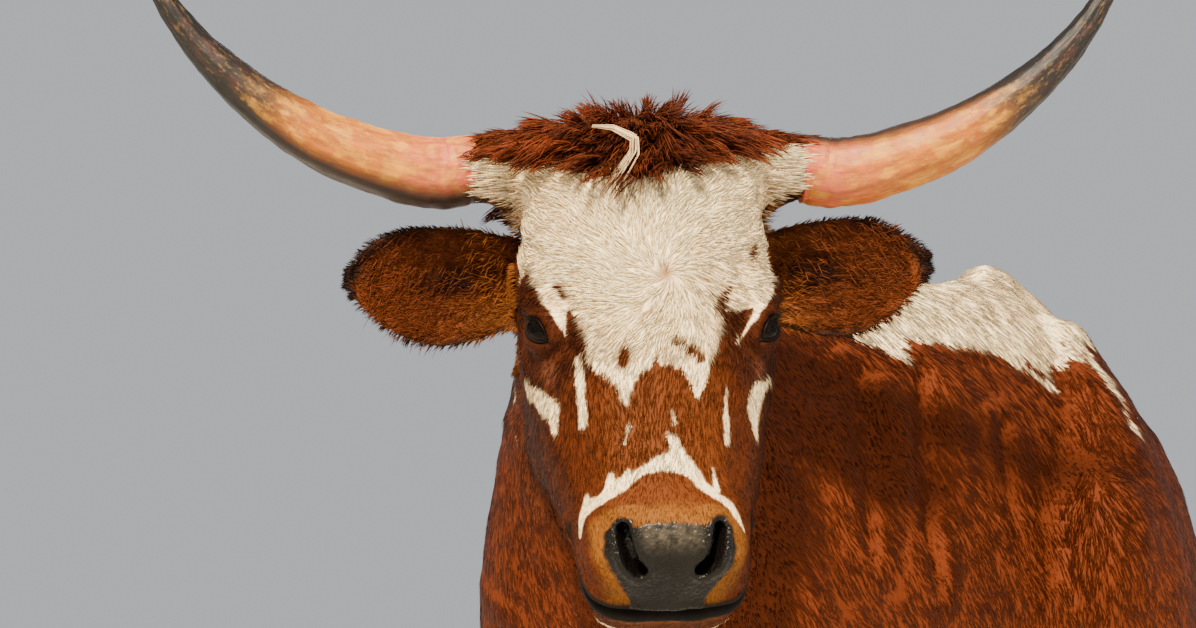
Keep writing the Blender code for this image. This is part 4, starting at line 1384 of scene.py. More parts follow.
@dataclass(frozen=True)
class Lie:
    """Which way the hair lies on each part of the animal."""

    stance: Stance
    whorl: tuple[float, float] = (0.011, 0.188)

    def ways(self, places: Places, normals: Floats) -> Floats:
        """The lie at each place.

        Args:
            places: Where on the animal.
            normals: The skin's normals there.

        Returns:
            Unit ways in the model's axes, flat on the skin.
        """
        on_face = self.face(places) @ self.stance.axes().T
        on_body = self.trunk(places)
        share = places.headness[:, None]
        ways = on_face * share + on_body * (1 - share)
        for side in Side:
            ear = EarPlace(side, self.stance)
            near = (places.ear > 0.5) & (np.sign(places.head[:, 0]) == side.value)
            local = ear.to_ear(places.points)
            fan = np.column_stack([np.full(len(local), 0.9), local[:, 1] * 9, local[:, 2] * 0])
            ways = np.where(near[:, None], fan @ ear.axes().T, ways)
        swirl = patchy(places.points, 0.035, 12)[:, None] * 0.28
        ways = unit(ways) + np.cross(normals, unit(ways)) * swirl
        return along_surface(ways, normals)

    def face(self, places: Places) -> Floats:
        """The lie on the head, in its own axes.

        Args:
            places: Where on the animal.

        Returns:
            Ways in the head's axes.
        """
        left, _, down = places.head.T
        away = np.column_stack([left - self.whorl[0], down - self.whorl[1]])
        gap = lengths(away)
        round_whorl = unit(away)
        turned = np.column_stack([-round_whorl[:, 1], round_whorl[:, 0]])
        round_whorl = unit(round_whorl + 0.35 * turned)
        along = np.clip(away[:, 1] / 0.08, -1, 1)
        spread = np.where(along > 0, 2.0, 8.0 + 70 * np.maximum(-away[:, 1], 0))
        level = np.sign(left) * (1 - np.abs(along))
        settled = np.column_stack([left * spread + level, along])
        share = ease(0.05, 0.15, gap)[:, None]
        flat = round_whorl * (1 - share) + unit(settled) * share
        cheek = ease(0.06, 0.105, np.abs(left)) * ease(0.12, 0.22, down)
        return np.column_stack([flat[:, 0], -0.9 * cheek, flat[:, 1] * (1 - 0.35 * cheek)])

    def trunk(self, places: Places) -> Floats:
        """The lie on the neck, the trunk and the legs, in the model's axes.

        Args:
            places: Where on the animal.

        Returns:
            The ways.
        """
        x, y, z = places.body.T
        neck = ease(-0.45, -0.75, y)
        low = ease(0.7, 0.52, z)
        back = 0.42 * (1 - low) + 0.08 * low
        sideways = 0.3 * neck - 0.1 * np.sign(x) * ease(0.8, 0.66, z) * (1 - low)
        return np.column_stack([sideways, back + 0.1 * neck, -0.9 + 0 * z])


# Tufts


@dataclass
class Strands:
    """Many tapered strands of hair, kept as rows of places, and joined into closed meshes."""

    lines: Floats
    across: Floats
    widths: Floats
    thickness: Floats
    root_colour: Floats
    tip_colour: Floats
    bake: Floats
    profile: Sequence[float]
    bake_patch: float = 0.003

    def corners(self) -> Floats:
        """Three corners to each place along a strand, and one at its tip.

        Returns:
            The corners, by strand.
        """
        way = unit(np.gradient(self.lines, axis=1))
        across = unit(self.across - way * np.sum(self.across * way, axis=2, keepdims=True))
        rise = np.cross(across, way)
        share = np.array(self.profile)[None, :, None]
        half = across[:, :-1] * self.widths[:, None, None] * share / 2
        lift = rise[:, :-1] * self.thickness[:, None, None] * share
        inner = self.lines[:, :-1]
        rings = np.stack([inner - half, inner + half, inner + lift], axis=2)
        count = len(self.lines)
        return np.concatenate([rings.reshape(count, -1, 3), self.lines[:, -1:]], axis=1)

    def faces(self) -> Ints:
        """One strand's triangles.

        Returns:
            Corner numbers, three to a triangle.
        """
        made = [(0, 2, 1)]
        rings = len(self.profile)
        for k in range(rings - 1):
            for j in range(3):
                a, b = 3 * k + j, 3 * k + (j + 1) % 3
                made += [(a, b, b + 3), (a, b + 3, a + 3)]
        tip = 3 * rings
        made += [(tip - 3 + j, tip - 3 + (j + 1) % 3, tip) for j in range(3)]
        return np.array(made, np.int64)

    def mesh(self, name: str, material: Material) -> Object:
        """Joins all the strands into one object.

        Args:
            name: The object's name.
            material: The hair's finish.

        Returns:
            The object, with its colours and its bake map.
        """
        corners = self.corners()
        count, each, _ = corners.shape
        one = self.faces()
        faces = (one[None] + (np.arange(count) * each)[:, None, None]).reshape(-1, 3)
        made = mesh_object(name, corners.reshape(-1, 3), faces, material)
        share = np.append(np.repeat(np.linspace(0, 1, len(self.profile) + 1)[:-1], 3), 1.0)
        share = share[None, :, None]
        shade = self.root_colour[:, None] * (1 - share) + self.tip_colour[:, None] * share
        add_values(made.data, COLOUR, "FLOAT_COLOR", shade.reshape(-1, 3))
        sideways = np.append(np.tile([-0.5, 0.5, 0.0], len(self.profile)), 0.0)
        spread = np.column_stack([sideways, share[0, :, 0] - 0.5]) * self.bake_patch
        flat = (self.bake[:, None] + spread[None]).reshape(-1, 2)
        layer = made.data.uv_layers.new(name=BAKE_MAP)
        layer.data.foreach_set("uv", flat[faces.ravel()].astype(np.float32).ravel())
        return made


def straight(root: Floats, way: Floats, length: Floats, steps: Floats) -> Floats:
    """Lines that run straight from their roots.

    Args:
        root: Where each starts.
        way: Which way it goes.
        length: Its length in metres.
        steps: The shares of its length at which it has places.

    Returns:
        Places, by line and by step.
    """
    return root[:, None] + way[:, None] * (length[:, None] * steps)[..., None]


@dataclass(frozen=True)
class Unwrap:
    """The skin laid flat: a strip round each part of the animal, side by side on one map."""

    stance: Stance
    # On the map: where the first and second strips start, and how wide a part's and a leg's strip is
    first: float = 0.02
    second: float = 0.52
    wide: float = 0.46
    narrow: float = 0.21
    next_column: float = 0.23
    # On the animal: the top of the legs' strips, and the middle of a leg to the side, fore and hind
    leg_top: float = 0.56
    leg_out: float = 0.135
    fore_leg: float = -0.4
    hind_leg: float = 0.66

    def flat(self, places: Places) -> Floats:
        """Where each place lies on the map.

        Args:
            places: Where on the animal.

        Returns:
            Two numbers from 0 to 1 to a place.
        """
        head, body = places.head, places.body
        turn = np.arctan2(head[:, 0], head[:, 1] + 0.1) / math.tau + 0.5
        down = self.second + 0.44 * (head[:, 2] + 0.1) / 0.66
        on_head = np.column_stack([self.first + 0.44 * turn, down])
        round_body = np.arctan2(body[:, 0], body[:, 2] - 0.95) / math.tau + 0.5
        length = np.clip((body[:, 1] + 1.05) / 2.1, 0, 1)
        on_body = self.first + self.wide * np.column_stack([round_body, length])
        made = np.where(places.headness[:, None] > 0.5, on_head, on_body)
        low = (body[:, 2] < self.leg_top) & (places.headness < 0.5)
        fore = body[:, 1] < 0.2
        left = body[:, 0] > 0
        middle_x = np.where(left, self.leg_out, -self.leg_out)
        middle_y = np.where(fore, self.fore_leg, self.hind_leg)
        about = np.arctan2(body[:, 0] - middle_x, body[:, 1] - middle_y) / math.tau + 0.5
        column = self.second + self.next_column * (~left) + self.narrow * about
        up = np.clip(body[:, 2] / self.leg_top, 0, 1)
        row = self.first + 0.22 * (~fore) + self.narrow * up
        made = np.where(low[:, None], np.column_stack([column, row]), made)
        for side in Side:
            local = EarPlace(side, self.stance).to_ear(places.points)
            near = (places.ear > 0.5) & (np.sign(head[:, 0]) == side.value)
            front = local[:, 2] > -0.02
            start = self.second + (self.next_column if side is Side.LEFT else 0.0)
            u = start + self.narrow * np.clip(local[:, 0] / 0.21, 0, 1)
            v = self.second + 0.12 * front + 0.11 * np.clip(local[:, 1] / 0.14 + 0.5, 0, 1)
            made = np.where(near[:, None], np.column_stack([u, v]), made)
        return made


@dataclass(frozen=True)
class CoatPatch:
    """How the coat grows on one part: how close the tufts stand, and their size in metres.

    A tuft with one bend is a short straight spike; one with two bends has a body and a tip.
    """

    name: str
    spacing: float
    length: float
    width: float
    lift: float
    bends: int
    where: Picker


@dataclass
class Coat:
    """The short coat over the whole skin, as tufts that follow its lie."""

    stance: Stance
    markings: Markings
    lie: Lie
    hair: Material
    most_triangles: int = 190000
    # No hair grows below the top of a claw
    hoof_top: float = 0.066
    # One tuft in six of the white hair is straw-coloured, and this much darker
    straw_share: float = 0.16
    straw: Point = (0.88, 0.8, 0.66)
    # Where a tuft's rings lie along it and how high they stand, with one bend and with two
    short_tuft: Table = ((-0.06, 1.0), (-0.1, 1.0))
    long_tuft: Table = ((-0.06, 0.45, 1.0), (-0.08, 0.75, 1.0))
    # How far along a tuft the marking is read for its root and tip, and how bright each is
    ends_at: Table = ((0.4, 0.93), (0.75, 1.05))
    # The least and the most of a tuft's usual length, lift and width
    length_range: Sequence[float] = (0.75, 1.2)
    lift_range: Sequence[float] = (0.5, 1.5)
    width_range: Sequence[float] = (0.75, 1.25)
    thinner: float = 1.0
    made: list[Object] = field(default_factory=list)

    def patches(self) -> list[CoatPatch]:
        """The parts of the coat, in the order in which they claim the skin.

        Returns:
            The parts.
        """
        return [
            CoatPatch("ear_coat", 0.002, 0.01, 0.0013, 0.15, 1, lambda p: p.ear > 0.5),
            # The short-haired end of the face, and the longer hair of the brow up to the horns
            CoatPatch("muzzle_coat", 0.0021, 0.006, 0.001, 0.16, 1, self.on_head(-1.0, 0.4)),
            CoatPatch("brow_coat", 0.0028, 0.0175, 0.0012, 0.12, 2, self.on_head(-0.085, -1.0, 0.265)),
            CoatPatch("face_coat", 0.0024, 0.0085, 0.0013, 0.06, 1, self.on_head(-0.085)),
            CoatPatch("head_coat", 0.0036, 0.012, 0.0018, 0.1, 1, self.on_head()),
            # The front of the neck, and the left shoulder and side, as the photograph shows them
            CoatPatch("neck_coat", 0.0042, 0.019, 0.0027, 0.036, 1, self.on_body(0.6, -0.36)),
            CoatPatch("side_coat", 0.0046, 0.0215, 0.0031, 0.032, 1, self.on_body(0.75, 0.25, -0.05)),
            CoatPatch("leg_coat", 0.0075, 0.016, 0.003, 0.06, 1, lambda p: p.body[:, 2] < 0.6),
            CoatPatch("trunk_coat", 0.0076, 0.0285, 0.0041, 0.032, 1, lambda p: p.body[:, 2] > 0),
        ]

    def on_head(self, out: float = -1.0, down: float = -1.0, up_to: float = 1.0) -> Picker:
        """Picks places on the head: further out than a level, and between two down the face."""
        return lambda p: (
            (p.headness > 0.5) & (p.head[:, 1] > out) & (p.head[:, 2] > down) & (p.head[:, 2] < up_to)
        )

    def on_body(self, above: float, ahead_of: float, left_of: float = -1.0) -> Picker:
        """Picks places on the body: above a level, ahead of one and to the left of one."""
        return lambda p: ((p.body[:, 0] > left_of) & (p.body[:, 1] < ahead_of) & (p.body[:, 2] > above))

    def grow(self, skin: Object) -> list[Object]:
        """Covers the skin with tufts.

        Args:
            skin: The finished skin.

        Returns:
            The coat's pieces.
        """
        rng = np.random.default_rng(SEED)
        mesh = skin.data
        mesh.calc_loop_triangles()
        tris = np.zeros(len(mesh.loop_triangles) * 3, np.int32)
        mesh.loop_triangles.foreach_get("vertices", tris)
        tris = tris.reshape(-1, 3)
        points, normals = places_of(mesh), normals_of(mesh)
        a, b, c = (points[tris[:, k]] for k in range(3))
        area = lengths(np.cross(b - a, c - a)) / 2
        middle = Places.at((a + b + c) / 3, self.stance)
        free = (self.markings.pad(middle) < 0.5) & ~self.hidden(middle)
        for patch in self.patches():
            here = free & patch.where(middle)
            free &= ~here
            chosen = np.flatnonzero(here)
            wanted = area[chosen] / (patch.spacing * self.thinner) ** 2
            count = int(wanted.sum())
            if count < 10:
                continue
            picked = chosen[rng.choice(len(chosen), count, p=wanted / wanted.sum())]
            mix = rng.dirichlet((1, 1, 1), count)
            root = np.einsum("nk,nkj->nj", mix, points[tris[picked]])
            normal = unit(np.einsum("nk,nkj->nj", mix, normals[tris[picked]]))
            self.plant(patch, root, normal, rng)
        return self.made

    def hidden(self, places: Places) -> Flags:
        """Places where no hair grows: in the eyes, in the mouth and nostrils, under a hoof.

        Args:
            places: Where on the animal.

        Returns:
            True where no hair grows.
        """
        made = places.body[:, 2] < self.hoof_top
        for side in Side:
            socket = EyeSocket(side, self.stance)
            local = socket.to_eye(places.points)
            near = lengths(local) < 0.045
            made |= near & (socket.beyond_edge(local) < 0.0035)
        made |= self.markings.lips(places) * (places.headness > 0.5) > 0.6
        return made

    def plant(self, patch: CoatPatch, root: Floats, normal: Floats, rng: Chance) -> None:
        """Grows one part's tufts, in pieces of a fair size.

        Args:
            patch: The part of the coat.
            root: The tufts' places.
            normal: The skin's normals there.
            rng: The source of chance.
        """
        places = Places.at(root, self.stance)
        count = len(root)
        way = self.lie.ways(places, normal)
        across = np.cross(normal, way)
        wave = 0.46 if patch.bends == 2 else 0.22
        stray = wave * patchy(root, 0.011, 51) + rng.normal(0, 0.1, count)
        way = unit(way + across * stray[:, None])
        across = np.cross(normal, way)
        shorter = self.shortening(places)
        length = patch.length * rng.uniform(*self.length_range, count) * shorter
        rough = 1 + 0.8 * patchy(root, 0.014, 52)
        lift = patch.lift * rng.uniform(*self.lift_range, count) * rough
        share, rise = np.array(self.short_tuft if patch.bends == 1 else self.long_tuft)
        lines = straight(root, way, length, share)
        lines = lines + normal[:, None] * ((length * lift)[:, None] * rise)[..., None]
        lines[:, -1] += across * (rng.normal(0, 0.1, count) * length)[:, None]
        tone = np.exp(rng.normal(0, 0.035 + 0.045 * places.headness))[:, None]
        straw = (rng.random(count) < self.straw_share)[:, None]
        ends = []
        for reach, bright in self.ends_at:
            under = Places.at(root + way * (reach * length)[:, None], self.stance)
            colour = self.markings.colours(under)
            dull = straw & (colour[:, 2:] > 0.2)
            colour = np.where(dull, colour * np.array(self.straw), colour)
            ends.append(np.clip(colour * tone * bright, 0, 1))
        width = patch.width * rng.uniform(*self.width_range, count) * np.sqrt(shorter)
        flat = Unwrap(self.stance).flat(places)
        each = 4 if patch.bends == 1 else 10
        limit = self.most_triangles // each
        for k, start in enumerate(range(0, count, limit)):
            part = slice(start, start + limit)
            strands = Strands(
                lines[part], np.repeat(across[part, None], len(share), axis=1), width[part],
                width[part] * (0.1 + 1.4 * patch.lift), ends[0][part], ends[1][part], flat[part],
                (1.0,) if patch.bends == 1 else (0.6, 1.0),
            )
            self.made.append(strands.mesh(f"{patch.name}_{k + 1}", self.hair))

    def shortening(self, places: Places) -> Floats:
        """How much shorter the hair is near the eyes, the nose and the feet.

        Args:
            places: Where on the animal.

        Returns:
            The share of its full length.
        """
        made = np.ones(len(places.points))
        for side in Side:
            centre = EyeSocket(side, self.stance).centre()
            gap = lengths(places.points - centre)
            made = np.minimum(made, 0.3 + 0.7 * ease(0.024, 0.055, gap))
        made = np.minimum(made, 1 - 0.35 * ease(0.4, 0.2, places.body[:, 2]))
        nose = 1 - 0.35 * ease(0.36, 0.43, places.head[:, 2]) * places.headness
        return np.minimum(made, nose)


# The skin


@dataclass
class Skin:
    """One skin over head, neck, trunk, legs, ears and the tail's dock, a coat's depth inside."""

    stance: Stance
    markings: Markings
    hide: Material
    leather: Material
    lid_edge: str = "#120c0a"
    # Near black in each nostril's pit: partly its dark lining, partly painted shade
    nostril_dark: str = "#0b0807"
    voxel: float = 0.0085
    coat_depth: float = 0.0032
    flesh: Sequence[str] = (
        "head", "neck", "torso", "foreleg_left", "foreleg_right", "hindleg_left", "hindleg_right",
    )
    replaced: Sequence[str] = ("ear_left", "ear_right", "tail")
    # Back, up and radius, in millimetres
    dock: Table = metres((
        (815, 1225, 34), (880, 1215, 32), (925, 1165, 27), (945, 1080, 22), (952, 950, 17),
        (955, 800, 14), (957, 660, 12), (958, 560, 10),
    ))
    # Loose folds down the neck, with half their width, in millimetres
    neck_folds: Sequence[Table] = metres((
        ((-130, -700, 1130, 16), (-118, -755, 1040, 20), (-110, -800, 930, 14)),
        ((-66, -650, 1130, 16), (-56, -705, 1030, 20), (-40, -740, 900, 14)),
        ((30, -600, 1080, 14), (50, -640, 980, 18), (80, -640, 860, 12)),
    ))

    # Added round each eye, and at the left nostril's wing: its place and its half sizes, in metres
    lid_ball: float = 0.0235
    wing_place: Point = (0.0385, -0.028, 0.458)
    wing_size: Point = (0.017, 0.022, 0.026)
    # Lines on the face's left, how far they stand out and half their width, in millimetres
    face_lines: Sequence[Sequence[Table]] = metres((
        # The facial crest, the jaw's edge, the hollow of the cheek and the brow
        (((98, -75, 290), (86, -82, 350), (74, -75, 400)), (3.5, 10)),
        (((85, -105, 330), (72, -100, 395)), (6, 22)),
        (((84, -40, 330), (70, -35, 390)), (-3, 16)),
        (((98, -8, 190), (116, -30, 200)), (4, 12)),
        # The vein, and the folds over the eye
        (((66, -12, 250), (60, -16, 300), (64, -22, 350), (58, -18, 400)), (1.2, 3.5)),
        (((88, -12, 196), (118, -44, 206)), (-1.8, 2.8)),
        (((84, -12, 185), (120, -44, 193)), (-1.8, 2.8)),
        (((80, -12, 174), (122, -44, 180)), (-1.8, 2.8)),
    ))
    # How far outside a lid's edge, and how far from the eye's middle the skin lies there, in mm
    lid_rise: Table = metres((
        (-20, 14), (-2.2, 15), (-0.4, 20.5), (0.8, 22), (3, 23.6), (6.5, 24.1),
        (9, 23.6), (12, 24.6), (15, 24.6), (18.5, 25.6), (40, 30),
    ))

    def build(self) -> Object:
        """Builds the skin, carves it and gives it its markings.

        Returns:
            The skin.
        """
        skin = self.envelope()
        skin.name = skin.data.name = "skin"
        self.refine(skin, lambda p: p.headness > 0.4)
        self.refine(skin, lambda p: self.fine_places(p, 0.052, 0.38))
        self.refine(skin, lambda p: self.fine_places(p, 0.031, 0.428))
        self.add_ears(skin)
        self.carve(skin)
        self.mark(skin)
        return skin

    def envelope(self) -> Object:
        """One closed shell round all the flesh, smooth and a coat's depth inside it.

        Returns:
            The shell.
        """
        axes = self.stance.axes()
        parts = [node_copy([name], 0.0006) for name in self.flesh]
        for side in Side:
            centre = EyeSocket(side, self.stance).centre()
            parts.append(ball(centre, axes, (self.lid_ball,) * 3, 3))
            place = np.array(self.wing_place) * (side.value, 1, 1)
            parts.append(ball(self.stance.from_head(place), axes, self.wing_size, 3))
        parts.append(self.mouth_filling())
        parts.append(self.tail_dock())
        whole = joined(parts)
        shrink = whole.modifiers.new("shell", "REMESH")
        shrink.mode = "VOXEL"
        shrink.voxel_size = self.voxel
        applied(whole)
        self.keep_largest(whole)
        mesh = whole.data
        edges = edges_of(mesh)
        points = smoothed(places_of(mesh), edges, 9)
        head = self.stance.to_head(points)
        top = ease(0.095, 0.05, head[:, 2]) * ease(-0.19, -0.14, head[:, 1])
        top *= ease(0.185, 0.165, np.abs(head[:, 0])) * self.stance.headness(points)
        points = flattened(points, edges, 30, top)
        points = self.lower_poll(points)
        set_places(mesh, points)
        points = points - normals_of(mesh) * self.coat_depth
        set_places(mesh, smoothed(points, edges, 2))
        return whole

    def lower_poll(self, points: Floats) -> Floats:
        """Lowers the poll to the bare skull, as the tuft stands on it.

        Args:
            points: The skin's places.

        Returns:
            The moved places.
        """
        head = self.stance.to_head(points)
        share = ease(-0.2, -0.12, head[:, 1]) * ease(0.19, 0.165, np.abs(head[:, 0]))
        share = share * self.stance.headness(points)
        head[:, 2] -= np.minimum(head[:, 2], 0) * 0.55 * share
        return self.stance.from_head(head)

    def mouth_filling(self) -> Object:
        """A plain body inside the muzzle that closes the slit of the mouth.

        Returns:
            The filling.
        """
        copy = node_copy(["head"])
        local = self.stance.to_head(places_of(copy.data))
        near = local[local[:, 2] > 0.385]
        middle = near.mean(axis=0)
        near = middle + (near - middle) * 0.965
        shape = bmesh.new()
        for place in self.stance.from_head(near):
            shape.verts.new(place)
        bmesh.ops.convex_hull(shape, input=shape.verts)
        loose = [v for v in shape.verts if not v.link_faces]
        bmesh.ops.delete(shape, geom=loose, context="VERTS")
        shape.to_mesh(copy.data)
        shape.free()
        return copy

    def tail_dock(self) -> Object:
        """The fleshy part of the tail.

        Returns:
            The dock.
        """
        rows = curved(self.dock, 4)
        way = unit(np.gradient(rows[:, :2], axis=0))
        turn = turns(16)
        start = self.stance.body_origin()
        rings = []
        for (y, z, radius), (dy, dz) in zip(rows, way):
            level = np.array([1.0, 0, 0])
            high = np.array([0, -dz, dy])
            spin = np.outer(np.cos(turn), level) + np.outer(np.sin(turn), high)
            rings.append(start + np.array([0, y, z]) + spin * radius)
        points, faces = lofted(np.array(rings))
        return mesh_object("dock", points, faces, self.hide)

    def keep_largest(self, item: Object) -> None:
        """Drops every loose scrap but the largest shell.

        Args:
            item: The object.
        """
        mesh = item.data
        edges = edges_of(mesh)
        label = np.arange(len(mesh.vertices))
        while True:
            low = np.minimum(label[edges[:, 0]], label[edges[:, 1]])
            new = label.copy()
            np.minimum.at(new, edges[:, 0], low)
            np.minimum.at(new, edges[:, 1], low)
            new = new[new]
            if np.array_equal(new, label):
                break
            label = new
        biggest = np.bincount(label).argmax()
        drop = np.flatnonzero(label != biggest)
        if len(drop) == 0:
            return
        shape = bmesh.new()
        shape.from_mesh(mesh)
        shape.verts.ensure_lookup_table()
        bmesh.ops.delete(shape, geom=[shape.verts[k] for k in drop], context="VERTS")
        shape.to_mesh(mesh)
        shape.free()

    def fine_places(self, places: Places, reach: float, muzzle: float) -> Flags:
        """Places near an eye or on the muzzle, which need finer faces.

        Args:
            places: Where on the animal.
            reach: How near to an eye's middle.
            muzzle: How far down the face the muzzle starts.

        Returns:
            True where the faces are split.
        """
        made = (places.head[:, 2] > muzzle) & (places.headness > 0.4)
        made &= places.head[:, 1] > -0.125
        for side in Side:
            centre = EyeSocket(side, self.stance).centre()
            made |= lengths(places.points - centre) < reach
        return made

    def refine(self, skin: Object, where: Picker) -> None:
        """Splits the faces in one region and rounds them.

        Args:
            skin: The skin.
            where: Picks the corners of the region.
        """
        chosen = where(Places.at(places_of(skin.data), self.stance))
        shape = bmesh.new()
        shape.from_mesh(skin.data)
        shape.verts.ensure_lookup_table()
        edges = [e for e in shape.edges if all(chosen[v.index] for v in e.verts)]
        bmesh.ops.subdivide_edges(shape, edges=edges, cuts=1, use_grid_fill=True)
        shape.to_mesh(skin.data)
        shape.free()
        points = places_of(skin.data)
        weight = where(Places.at(points, self.stance)).astype(float)
        set_places(skin.data, smoothed(points, edges_of(skin.data), 3, weight))

    def add_ears(self, skin: Object) -> None:
        """Joins both ears to the skin and rounds off where they meet.

        Args:
            skin: The skin.
        """
        for side in Side:
            ear = node_copy([f"ear_{side.word}"])
            smooth = ear.modifiers.new("smooth", "SUBSURF")
            smooth.levels = smooth.render_levels = 2
            applied(ear)
            self.shape_ear(ear, side)
            union = skin.modifiers.new("union", "BOOLEAN")
            union.operation = "UNION"
            union.solver = "MANIFOLD"
            union.object = ear
            applied(skin)
            bpy.data.objects.remove(ear)
        points = places_of(skin.data)
        weight = np.zeros(len(points))
        for side in Side:
            local = EarPlace(side, self.stance).to_ear(points)
            near = ease(0.045, 0.015, np.abs(local[:, 0] - 0.01)) * (np.abs(local[:, 1]) < 0.09)
            weight = np.maximum(weight, near * (np.abs(local[:, 2]) < 0.08))
        set_places(skin.data, flattened(points, edges_of(skin.data), 6, weight))

    def shape_ear(self, ear: Object, side: Side) -> None:
        """Gives an ear its inner ridges, its thin rim and its coat's depth.

        Args:
            ear: The ear.
            side: Which side of the animal.
        """
        place = EarPlace(side, self.stance)
        mesh = ear.data
        points, normals = places_of(mesh), normals_of(mesh)
        local = place.to_ear(points)
        facing = normals @ place.axes()[:, 2]
        inner = ease(0.1, 0.7, facing)
        ridges = np.cos(local[:, 1] * 230 + local[:, 0] * 14) * 0.0018
        ridges *= ease(0.17, 0.08, local[:, 0]) * ease(0.055, 0.03, np.abs(local[:, 1]))
        move = ridges * inner - 0.0012
        set_places(mesh, points + normals * move[:, None])

    def carve(self, skin: Object) -> None:
        """Carves lids, nostrils, lips, brow, cheeks and folds into the skin.

        Args:
            skin: The skin.
        """
        mesh = skin.data
        edges = edges_of(mesh)
        points = places_of(mesh)
        for brush in (self.carve_face, self.carve_neck, self.carve_nose, self.carve_mouth):
            set_places(mesh, points)
            points = brush(points, normals_of(mesh))
        for side in Side:
            points = self.carve_eye(points, EyeSocket(side, self.stance))
        near = self.fine_places(Places.at(points, self.stance), 0.05, 0.4).astype(float)
        points = smoothed(points, edges, 1, near * 0.5)
        set_places(mesh, points)

    def carve_face(self, points: Floats, normals: Floats) -> Floats:
        """The brow ridges, the facial crests, the hollow cheeks and the veins.

        Args:
            points: The skin's places.
            normals: The normals there.

        Returns:
            The moved places.
        """
        head = self.stance.to_head(points)
        on_head = self.stance.headness(points)
        move = np.zeros(len(points))
        for side in Side:
            for line, (height, width) in self.face_lines:
                mirrored = np.array(line) * np.array([side.value, 1, 1])
                gap, _ = distance_to_line(head, np.column_stack([mirrored, np.ones(len(line))]))
                move += height * bell(gap, width)
        move += 0.0012 * patchy(points, 0.018, 21)
        return points + normals * (move * on_head)[:, None]

    def carve_neck(self, points: Floats, normals: Floats) -> Floats:
        """The loose folds of the neck, and the muscles and ribs under the body's skin.

        Args:
            points: The skin's places.
            normals: The normals there.

        Returns:
            The moved places.
        """
        body = self.stance.to_body(points)
        off_head = 1 - self.stance.headness(points)
        move = 0.0035 * patchy(points * np.array([1, 1, 0.45]), 0.055, 22) * off_head
        wander = points + 0.01 * patchy(points, 0.06, 24)[:, None]
        for fold in self.neck_folds:
            gap, radius = distance_to_line(self.stance.to_body(wander), np.array(fold))
            reach = np.maximum(radius, 1e-3)
            move -= 0.005 * bell(gap, reach * 0.9) * off_head
            move += 0.003 * bell(gap - reach * 1.8, reach) * off_head
        seen = ease(-0.25, -0.45, body[:, 1]) * off_head
        slant = body[:, 0] * 0.75 + body[:, 2] * 0.55 + 0.018 * patchy(points, 0.11, 25)
        waves = np.sin(slant * 150 + 2.2 * patchy(points, 0.05, 26))
        move += 0.0014 * waves * seen * ease(-0.2, 0.5, patchy(points, 0.12, 27))
        ribs = np.cos(body[:, 1] * 88) * 0.0022
        ribs *= ease(-0.15, 0.0, body[:, 1]) * ease(0.45, 0.3, body[:, 1])
        ribs *= ease(0.72, 0.85, body[:, 2]) * ease(1.15, 1.02, body[:, 2])
        return points + normals * (move + ribs)[:, None]

    def carve_nose(self, points: Floats, normals: Floats) -> Floats:
        """The nostrils with their raised rims, the groove between them and the pad's edge.

        Args:
            points: The skin's places.
            normals: The normals there.

        Returns:
            The moved places.
        """
        head = self.stance.to_head(points)
        pad = self.markings.pad(Places.at(points, self.stance))
        shift = np.zeros_like(points)
        move = -0.001 * bell(head[:, 0], 0.0022) * pad
        move += 0.001 * pad
        for side in Side:
            gap, into = self.markings.from_nostril(head, side)
            pit = ease(0.0072, 0.003, gap)
            shift += (self.stance.axes() @ into) * (pit * 0.019)[:, None]
            move += 0.0028 * bell(gap - 0.0104, 0.0034)
        return points + shift + normals * move[:, None]

    def carve_mouth(self, points: Floats, normals: Floats) -> Floats:
        """The line of the mouth with a full lip above and below it.

        Args:
            points: The skin's places.
            normals: The normals there.

        Returns:
            The moved places.
        """
        head = self.stance.to_head(points)
        level = self.markings.mouth_level - 0.01 * ease(0.47, 0.39, head[:, 2])
        gap = head[:, 1] - level
        reach = ease(0.385, 0.405, head[:, 2]) * self.stance.headness(points)
        move = -0.006 * bell(gap, 0.0022)
        move += 0.0022 * bell(np.abs(gap) - 0.0075, 0.0045)
        return points + normals * (move * reach)[:, None]

    def carve_eye(self, points: Floats, socket: EyeSocket) -> Floats:
        """Lids that hug the eyeball, with a crease round them and folds over the upper one.

        Args:
            points: The skin's places.
            socket: The eye's socket.

        Returns:
            The moved places.
        """
        centre, axes = socket.centre(), socket.axes()
        local = (points - centre) @ axes
        gap = lengths(local)
        past = socket.beyond_edge(local)
        edges, heights = np.array(self.lid_rise).T
        wanted = np.interp(past, edges, heights)
        upper = ease(-0.002, 0.006, local[:, 1] * math.copysign(1.0, axes[2, 1]))
        heavy = 0.0032 * ease(-0.001, 0.004, past) + 0.0018 * bell(past - 0.0145, 0.003)
        wanted = wanted + upper * heavy
        share = ease(0.024, 0.009, past) * (gap < 0.05) * (local[:, 2] > -0.004)
        aimed = centre + (local / np.maximum(gap, 1e-9)[:, None] * wanted[:, None]) @ axes.T
        return mixed(points, aimed, share)

    def mark(self, skin: Object) -> None:
        """Writes the coat's colours, the nose leather and the hair's grain on the skin.

        Args:
            skin: The skin.
        """
        mesh = skin.data
        for layer in [a.name for a in mesh.attributes if not a.is_required and not a.is_internal]:
            if layer != "sharp_face":
                mesh.attributes.remove(mesh.attributes[layer])
        points = places_of(mesh)
        places = Places.at(points, self.stance)
        colours = self.markings.colours(places)
        wet = self.markings.pad(places)
        for side in Side:
            socket = EyeSocket(side, self.stance)
            local = socket.to_eye(points)
            near = lengths(local) < 0.04
            bare = ease(0.005, 0.002, socket.beyond_edge(local)) * near
            colours = mixed(colours, tint(self.lid_edge), bare)
